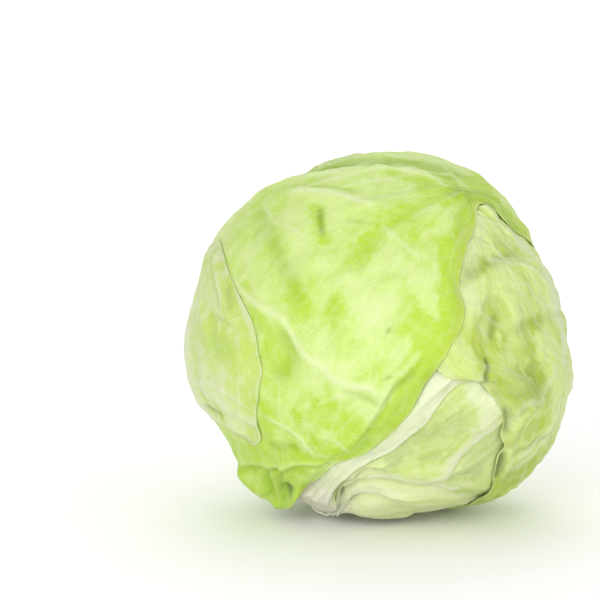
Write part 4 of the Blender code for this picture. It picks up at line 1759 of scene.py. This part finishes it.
FRONT_LEAF = Leaf(
    name="front_leaf",
    finish=FRONT_FINISH,
    foot=None,
    outer=True,
    split=0.3,
    left=(
        (231, 103), (220, 111), (205, 111), (188, 104), (170, 99), (150, 99), (130, 90), (112, 85),
        (94, 86), (78, 95), (62, 107), (49, 113), (39, 111),
    ),
    rib=(
        (242.5, 84), (237, 67), (228, 58), (214, 52), (196, 52), (172, 52), (146, 54), (124, 52),
        (104, 50), (84, 52), (66, 60), (50, 82), (40, 94), (34, 105),
    ),
    right=(
        (243, 71), (245, 66), (247, 57), (250, 49), (255, 44), (264, 37), (271, 32.5), (279, 30),
        (291, 25), (302, 20.2), (319, 18), (337, 18.2), (355, 21), (3, 24), (14, 27), (21, 28.5),
        (32, 30), (42, 36), (46, 42), (49, 51), (53, 61), (49, 66), (45, 70), (41, 75), (37.5, 80),
        (33, 86), (29, 92), (27, 99),
    ),
    columns=210,
    rows=230,
    thickness=1.2,
    sway=1.4,
    laterals=0,
    rib_size=(5.0, 0.0),
    rib_pale=0.15,
    wander=0.35,
    gather=1.15,
    loose=True,
    cell=13.0,
    blister=0.45,
    fold=0.9,
    fold_count=6.0,
    radiating=0.2,
    base_pale=4.0,
    strokes=(
        Stroke(
            Mark.VEIN,
            ((159, 57), (164, 45), (167, 37), (170, 31), (179, 27), (190, 24), (202, 21), (218, 19),
             (238, 16), (262, 17), (277, 19)),
            2.0, 1.2, 0.85,
        ),
        Stroke(Mark.RIDGE, ((159, 57), (167, 37), (179, 27), (202, 21), (238, 16), (284, 21)), 9.0, 1.5),
        # A groove under the main vein, with painted shade in it
        Stroke(Mark.GROOVE, ((235, 18), (255, 20), (272, 22)), 1.6, -0.8),
        Stroke(Mark.VEIN, ((214, 49), (218, 46), (225, 43), (233, 42), (238, 44), (242, 46)), 1.3, 0.5, 0.7),
        Stroke(Mark.VEIN, ((131, 73), (132, 55), (130, 49), (126, 40)), 1.3, 0.4, 0.6),
        # A painted highlight along the ridge below the crown, drawn as a pale vein
        Stroke(Mark.VEIN, ((123, 66), (119, 62), (104, 51), (92, 44)), 2.2, 0.7, 0.9),
        Stroke(Mark.VEIN, ((90, 38), (81, 32), (61, 26)), 1.0, 0.4, 0.6),
        Stroke(Mark.VEIN, ((118, 17), (110, 9), (63, 4)), 0.9, 0.3, 0.6),
        Stroke(Mark.VEIN, ((244, 35), (255, 41)), 0.9, 0.3, 0.6),
        # A thin painted highlight, drawn as a pale vein
        Stroke(Mark.VEIN, ((227, 27), (243, 19), (251, 20)), 0.9, 0.3, 0.5),
        Stroke(Mark.STREAK, ((115, 16), (105, 12), (78, 8)), 9.0, 0.3, 0.6),
        Stroke(Mark.STREAK, ((126, 55), (133, 58), (141, 56), (147, 56)), 6.0, 0.0, 0.5),
        Stroke(Mark.STREAK, ((152, 84), (146, 84), (140, 85), (132, 85), (124, 85)), 4.0, 0.5),
        Stroke(Mark.GROOVE, ((133, 73), (141, 45), (150, 32), (159, 27)), 4.5, -1.6, 0.8),
        Stroke(Mark.GROOVE, ((177, 33), (182, 29), (192, 28), (200, 32), (202, 38)), 4.5, -1.8, 0.9),
        Stroke(Mark.GROOVE, ((137, 20), (167, 15), (201, 16)), 3.5, -0.5, 0.3),
        Stroke(Mark.CREASE, ((115, 51), (117.5, 45), (120, 39)), 1.45, -0.5, 0.75),
        Stroke(Mark.GROOVE, ((107, 42), (102, 41), (97, 39)), 1.8, -0.8, 0.6),
        Stroke(Mark.GREEN, ((65, 50), (58, 59), (52, 73), (48, 75)), 6.0),
        Stroke(Mark.BLOTCH, ((63, 53), (57, 61), (51, 70)), 3.0, 0.0, 0.5),
        Stroke(Mark.GREEN, ((53, 53), (51, 44), (47, 36), (41, 29), (29, 26), (18, 23)), 7.0, 0.0, 1.3),
        Stroke(Mark.GREEN, ((20, 24), (8, 23), (352, 19)), 5.0, 0.0, 0.8),
        Stroke(Mark.GREEN, ((94, 33), (102, 28), (108, 25)), 5.0, -0.3),
        Stroke(Mark.GREEN, ((117, 51), (118, 44), (120, 38)), 3.0, 0.0, 0.9),
        Stroke(Mark.GREEN, ((151, 33), (157, 29), (162, 26)), 4.0, 0.0, 0.9),
        Stroke(Mark.GREEN, ((39, 10), (8, 13), (349, 14), (341, 17)), 7.0, 0.0, 0.9),
        Stroke(Mark.GREEN, ((6, 19), (352, 19), (333, 18)), 4.5, 0.0, 0.7),
        Stroke(
            Mark.GREEN,
            ((340, 17.5), (322, 17), (298, 19.5), (277, 26), (264, 34.5), (254, 43)),
            4.6, 0.0, 1.5,
        ),
        Stroke(Mark.GREEN, ((185, 35), (193, 34), (199, 35)), 4.5, 0.0, 0.3),
        Stroke(Mark.GREEN, ((95, 78), (78, 76), (64, 74)), 4.0, 0.0, 0.2),
        Stroke(Mark.GREEN, ((160, 50), (168, 43), (176, 37)), 3.0, -0.4, 1.1),
        Stroke(Mark.CREASE, ((138, 51), (139, 47), (139, 43)), 1.5, -0.4, 0.25),
        Stroke(Mark.CREASE, ((140, 60), (143, 56), (143, 53)), 1.5, -0.4, 0.2),
        Stroke(Mark.GREEN, ((227, 33), (233, 26), (252, 31)), 7.0, 0.0, 0.8),
        Stroke(Mark.GREEN, ((241, 39), (251, 41), (260, 41)), 5.0, 0.0, 0.9),
        Stroke(Mark.GREEN, ((225, 84), (231, 74), (236, 70), (241, 80)), 12.0, 0.0, 0.55),
        Stroke(
            Mark.RIDGE, ((222, 84), (227, 70), (232, 61), (237, 53), (243, 49), (249, 47)), 1.8, 2.0, 2.4,
        ),
        Stroke(Mark.GROOVE, ((223, 88), (229, 73), (234, 63), (239, 55)), 1.8, -1.6, 0.9),
        Stroke(Mark.GREEN, ((222, 78), (228, 61), (235, 50), (244, 46)), 4.0, 0.0, 1.1),
        Stroke(Mark.CREASE, ((224, 56), (229, 51), (234, 46)), 2.6, -1.0, 0.35),
        Stroke(Mark.RIDGE, ((227, 76), (230, 81), (234, 86)), 2.6, 2.4),
        Stroke(Mark.GROOVE, ((228, 71), (232, 77), (237, 86)), 2.2, -2.0),
        Stroke(Mark.RIDGE, ((230, 66), (233, 73), (238, 84)), 2.4, 2.6),
        Stroke(Mark.GROOVE, ((233, 62), (235, 69), (240, 84)), 2.0, -2.0),
        Stroke(Mark.RIDGE, ((234, 57), (235, 64), (236, 70), (237, 77)), 2.4, 2.2, 0.3),
        # The frill's deep pocket, darkened with painted shade
        Stroke(Mark.CREASE, ((238.5, 69), (239, 73), (239.5, 77)), 2.5, -3.0, 1.5),
        Stroke(Mark.RIDGE, ((243, 53), (243.5, 60), (243.5, 66)), 3.0, 2.0),
        Stroke(Mark.RIDGE, ((222, 88), (228, 88), (234, 88), (241, 88)), 8.0, 6.5, 0.0),
        Stroke(Mark.RIDGE, ((243, 84),), 3.6, -4.0, 0.0),
        Stroke(Mark.GREEN, ((238, 67), (239, 73), (240, 80)), 5.0, 0.0, 1.6),
        Stroke(Mark.GREEN, ((236, 52), (232, 57), (226, 69)), 8.0, 0.0, 0.9),
        Stroke(Mark.GREEN, ((215, 47), (221, 55), (225, 57)), 6.0, 0.0, 0.8),
        Stroke(Mark.GREEN, ((141, 17), (171, 12), (202, 11)), 4.0, 0.0, 0.5),
        Stroke(Mark.GREEN, ((83, 41), (73, 34), (60, 32)), 8.0, 0.0, 0.6),
        Stroke(Mark.GREEN, ((252, 10), (279, 11), (303, 11)), 5.0, 0.0, 0.6),
        Stroke(Mark.GREEN, ((85, 63), (76, 61), (69, 62)), 4.0, 0.0, 0.6),
        Stroke(Mark.GREEN, ((47, 71), (42, 79), (36, 86)), 5.0),
        Stroke(Mark.BLOTCH, ((39, 3),), 1.4),
        Stroke(Mark.CREASE, ((273, 13), (288, 13)), 0.8, -0.3, 0.5),
        Stroke(Mark.CREASE, ((121, 70), (113, 62), (105, 57), (98, 53)), 1.5, -1.0, 0.3),
        Stroke(
            Mark.CREASE, ((127, 84), (119, 82), (115, 78), (109, 76), (103, 75), (97, 72)), 1.5, -1.3, 0.8,
        ),
        Stroke(Mark.CREASE, ((117, 81), (112, 80), (106, 83), (100, 87)), 1.5, -1.3, 0.8),
        Stroke(Mark.RIDGE, ((130, 80), (113, 57), (92, 44), (67, 55), (54, 64)), 6.5, 1.8, 0.0),
        Stroke(Mark.STREAK, ((127, 85), (115, 75), (103, 72)), 1.0, 0.4, 0.8),
        Stroke(Mark.STREAK, ((119, 65), (100, 64), (83, 73)), 1.0, 0.4, 0.8),
        Stroke(Mark.STREAK, ((105, 57), (85, 61), (67, 73)), 1.0, 0.4, 0.8),
        Stroke(Mark.STREAK, ((82, 68), (74, 65.5), (66, 62)), 1.4, 0.6, 0.9),
        Stroke(Mark.STREAK, ((74, 81), (65, 73), (57, 67)), 0.9, 0.3, 0.7),
        Stroke(Mark.GROOVE, ((67, 57), (60, 63), (53, 72), (45, 76), (39, 80), (33, 84)), 3.5, -0.8),
        Stroke(Mark.CREASE, ((54, 69), (52, 71)), 0.9, -0.5, 0.8),
        Stroke(
            Mark.CREASE,
            ((326, 13), (294, 15.5), (276, 20), (266, 27), (261, 34), (256, 41)),
            1.5, -1.6, 0.35,
        ),
        Stroke(Mark.STREAK, ((332, 11), (294, 12.5), (275, 18), (264, 26)), 1.5, 0.4, 0.6),
        # Painted shade along the rolled rim, with no crease of its own
        Stroke(
            Mark.CREASE,
            ((340, 17.5), (322, 17), (298, 19.5), (277, 26), (264, 34.5), (254, 43)),
            4.2, 0.0, 0.28,
        ),
        Stroke(
            Mark.RIDGE,
            ((338, 17.5), (322, 16), (297, 20), (278, 26.5), (266, 34), (256, 43)),
            3.4, 2.2, 0.0,
        ),
        Stroke(Mark.STREAK, ((127, 80), (120, 78), (113, 73.5), (104, 71), (96, 69)), 1.7, 1.0, 0.9),
        Stroke(Mark.STREAK, ((120, 74), (110, 71), (100, 66), (88, 67)), 1.8, 0.9, 0.9),
        Stroke(Mark.STREAK, ((92, 68), (84, 66.5), (76, 65), (69, 64)), 1.8, 0.9, 0.9),
        Stroke(Mark.STREAK, ((106, 86), (95, 81), (86, 78), (78, 77)), 1.8, 1.0, 0.8),
        # Painted shade over the middle of the crown
        Stroke(Mark.CREASE, ((114, 78), (100, 75), (84, 74), (70, 74), (60, 76)), 6.0, -0.5, 0.5),
        Stroke(Mark.CREASE, ((90, 73), (77, 72), (64, 70)), 3.0, -0.9, 0.3),
        Stroke(Mark.CREASE, ((112, 78), (98, 71), (86, 72)), 2.2, -0.9, 0.3),
        Stroke(Mark.GREEN, ((70, 58), (62, 60), (55, 65), (50, 70)), 8.0, 0.0, 1.8),
        Stroke(Mark.GREEN, ((74, 71), (65, 71), (57, 71), (51, 73)), 6.5, 0.0, 1.3),
        Stroke(Mark.CREASE, ((67, 61), (60, 62), (54, 65)), 1.8, -0.7, 0.45),
        Stroke(Mark.CREASE, ((64, 66), (59, 67), (53, 71)), 1.8, -0.7, 0.45),
        Stroke(Mark.CREASE, ((52, 62), (49, 66), (46, 67)), 1.7, -0.8, 0.7),
    ),
    seed=9.9,
)

LEFT_LEAF = Leaf(
    name="left_leaf",
    finish=LEFT_FINISH,
    foot=None,
    outer=True,
    split=0.35,
    left=((206, 106), (198, 114), (186, 118), (170, 115), (156, 102), (151, 93)),
    rib=((206, 78), (198, 80), (186, 80), (174, 80), (162, 82), (152, 86)),
    right=(
        (221, 63), (221, 57), (212, 51), (205, 45), (196, 40), (187, 39.5), (176, 41), (167, 47),
        (159, 57), (152, 69), (149, 80),
    ),
    columns=150,
    rows=170,
    thickness=0.9,
    laterals=0,
    wander=0.4,
    fold=0.8,
    radiating=0.2,
    greening=0.7,
    tuck=10.0,
    strokes=(
        Stroke(Mark.GROOVE, ((151, 78), (157, 70), (164, 62), (172, 56)), 1.8, -1.4, 0.6),
        Stroke(Mark.RIDGE, ((153, 74), (159, 65), (166, 56), (176, 49)), 2.4, 1.2),
        Stroke(Mark.RIDGE, ((152, 84), (158, 77), (168, 70), (178, 62), (187, 58)), 3.0, 1.6),
        Stroke(Mark.GREEN, ((160, 58), (166, 54), (172, 51)), 2.8, -0.4, 1.6),
        Stroke(Mark.CREASE, ((162, 57), (166, 54), (170.5, 51.5)), 1.6, -0.5, 0.3),
        Stroke(Mark.GREEN, ((156, 66), (163, 56), (170, 49)), 2.0, 0.0, 0.7),
        Stroke(Mark.GREEN, ((179, 63), (183, 53), (186, 44)), 9.0, 0.0, 0.8),
        Stroke(Mark.BLOTCH, ((182, 58), (184, 50)), 6.0, 0.0, 0.2),
        Stroke(Mark.STREAK, ((164, 74), (178, 70), (190, 66)), 7.0, 0.0, 0.4),
        Stroke(Mark.CREASE, ((172, 60), (174, 54), (176, 48)), 1.5, -0.5, 0.18),
        Stroke(Mark.GREEN, ((178, 68), (183, 72)), 5.0, 0.0, 0.5),
        Stroke(Mark.CREASE, ((202, 78), (204, 71), (207, 67)), 1.5, -1.6, 0.6),
        Stroke(Mark.CREASE, ((212, 74), (216, 69), (220, 64)), 1.6, -1.8, 0.8),
        Stroke(Mark.RIDGE, ((207, 73), (211, 66), (216, 60)), 2.6, 1.6),
        Stroke(Mark.STREAK, ((144, 88), (150, 88), (160, 84), (170, 82), (181, 79), (193, 80)), 4.5),
        Stroke(Mark.STREAK, ((195, 73), (203, 62), (214, 54)), 3.0, 0.6, 0.65),
        Stroke(Mark.VEIN, ((193, 83), (196, 63), (202, 55), (210, 52)), 1.5, 0.5, 0.5),
    ),
    seed=11.0,
)


@dataclass
class HeadLeaves:
    """The closed head inside the outer leaves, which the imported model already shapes.

    Attributes:
        finish: The finish that the head's leaves and its heart share.
    """

    finish: LeafFinish

    def dress(self, head: Head) -> list[str]:
        """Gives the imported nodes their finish, and lays them.

        Args:
            head: What is laid so far.

        Returns:
            The nodes' names.
        """
        skin = self.finish.build()
        names = sorted(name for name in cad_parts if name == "heart" or name.startswith("head_leaf"))
        for name in names:
            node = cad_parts[name]
            node.data.materials.clear()
            node.data.materials.append(skin)
            head.add(node)
        return names


@dataclass(frozen=True)
class Lamp:
    """One square light.

    Attributes:
        name: Its name.
        place: Where it hangs.
        aim: What it faces.
        size: Its side in metres.
        power: Its power in watts.
        spread: How wide it shines, in degrees.
    """

    name: str
    place: Spot
    aim: Spot
    size: float
    power: float
    spread: float = 180.0

    def hang(self) -> None:
        """Hangs the light."""
        lamp = bpy.data.lights.new(self.name, "AREA")
        lamp.shape = "SQUARE"
        lamp.size = self.size
        lamp.energy = self.power
        lamp.spread = math.radians(self.spread)
        holder = bpy.data.objects.new(self.name, lamp)
        holder.location = self.place
        holder.rotation_euler = (Vector(self.aim) - Vector(self.place)).to_track_quat("-Z", "Y").to_euler()
        bpy.context.scene.collection.objects.link(holder)


HEAD_MIDDLE: Spot = (0.0, 0.0, MIDDLE_HEIGHT)
LAMPS = (
    Lamp("key_light", place=(-0.5, -1.7, 0.7), aim=HEAD_MIDDLE, size=0.8, power=10.6),
    Lamp("fill_light", place=(1.4, -1.3, 0.6), aim=HEAD_MIDDLE, size=1.2, power=4.5),
    Lamp("low_light", place=(-0.2, -1.6, 0.14), aim=(0.0, 0.0, 0.03), size=0.5, power=4.4),
    Lamp("floor_light", place=(0.0, 1.3, 1.1), aim=(0.0, 1.0, 0.0), size=1.2, power=4.0, spread=100.0),
)


@dataclass
class Studio:
    """The pale floor, the soft light and the camera.

    Attributes:
        floor_finish: The floor's finish.
        floor_size: The floor's side in metres.
        sky: How bright the light from all round is.
        lamps: The other lights: from the front left, the right, low in front, and on the floor behind.
    """

    floor_finish: FloorFinish
    floor_size: float = 14.0
    sky: float = 0.83
    lamps: tuple[Lamp, ...] = LAMPS

    def build(self) -> None:
        """Sets the whole stage."""
        self.floor()
        self.lights()
        self.camera()

    def floor(self) -> None:
        """Lays the floor."""
        bpy.ops.object.select_all(action="DESELECT")
        bpy.ops.mesh.primitive_plane_add(size=self.floor_size)
        floor = bpy.context.object
        floor.name = "floor"
        floor.data.materials.append(self.floor_finish.build())

    def lights(self) -> None:
        """Lights the room softly from all round, and more from the front, the left and above."""
        world = bpy.data.worlds.new("soft_room")
        world.use_nodes = True
        room = world.node_tree.nodes["Background"]
        room.inputs["Color"].default_value = (1.0, 1.0, 1.0, 1.0)
        room.inputs["Strength"].default_value = self.sky
        bpy.context.scene.world = world
        for lamp in self.lamps:
            lamp.hang()

    def camera(self) -> None:
        """Stands a long lens at the photograph's angle, and sets plain colours."""
        lens = bpy.data.cameras.new("camera")
        lens.sensor_width = SENSOR_WIDTH
        lens.lens = SENSOR_WIDTH * CAMERA_DISTANCE / FRAME_WIDTH
        lens.clip_end = CAMERA_REACH
        camera = bpy.data.objects.new("camera", lens)
        rise, run = math.sin(VIEW_RISE), math.cos(VIEW_RISE)
        toward, up = Vector((0, -run, rise)), Vector((0, rise, run))
        beside = Vector((-CAMERA_LEFT, 0, MIDDLE_HEIGHT))
        camera.location = beside + up * CAMERA_ABOVE + toward * CAMERA_DISTANCE
        camera.rotation_euler = (math.pi / 2 - VIEW_RISE, 0, 0)
        bpy.context.scene.collection.objects.link(camera)
        bpy.context.scene.camera = camera
        bpy.context.scene.view_settings.view_transform = "Standard"


def main() -> None:
    """Builds the head from the inside out, sets the stage and reports each piece."""
    logging.basicConfig(level=logging.INFO, format="%(message)s")
    noise.seed_set(NOISE_SEED)
    head = Head()
    for name in HeadLeaves(INNER_FINISH).dress(head):
        LOG.info("dressed %s", name)
    stub = Stem(StemFinish()).build()
    head.add(stub)
    LOG.info("built %s", stub.name)
    for leaf in (*BASE_LEAVES, *BACK_LEAVES, RIGHT_LEAF, FRONT_LEAF, LEFT_LEAF):
        piece = leaf.build(head)
        LOG.info("built %s with %d faces", piece.name, len(piece.data.polygons))
    Studio(FloorFinish()).build()


if __name__ == "__main__":
    main()
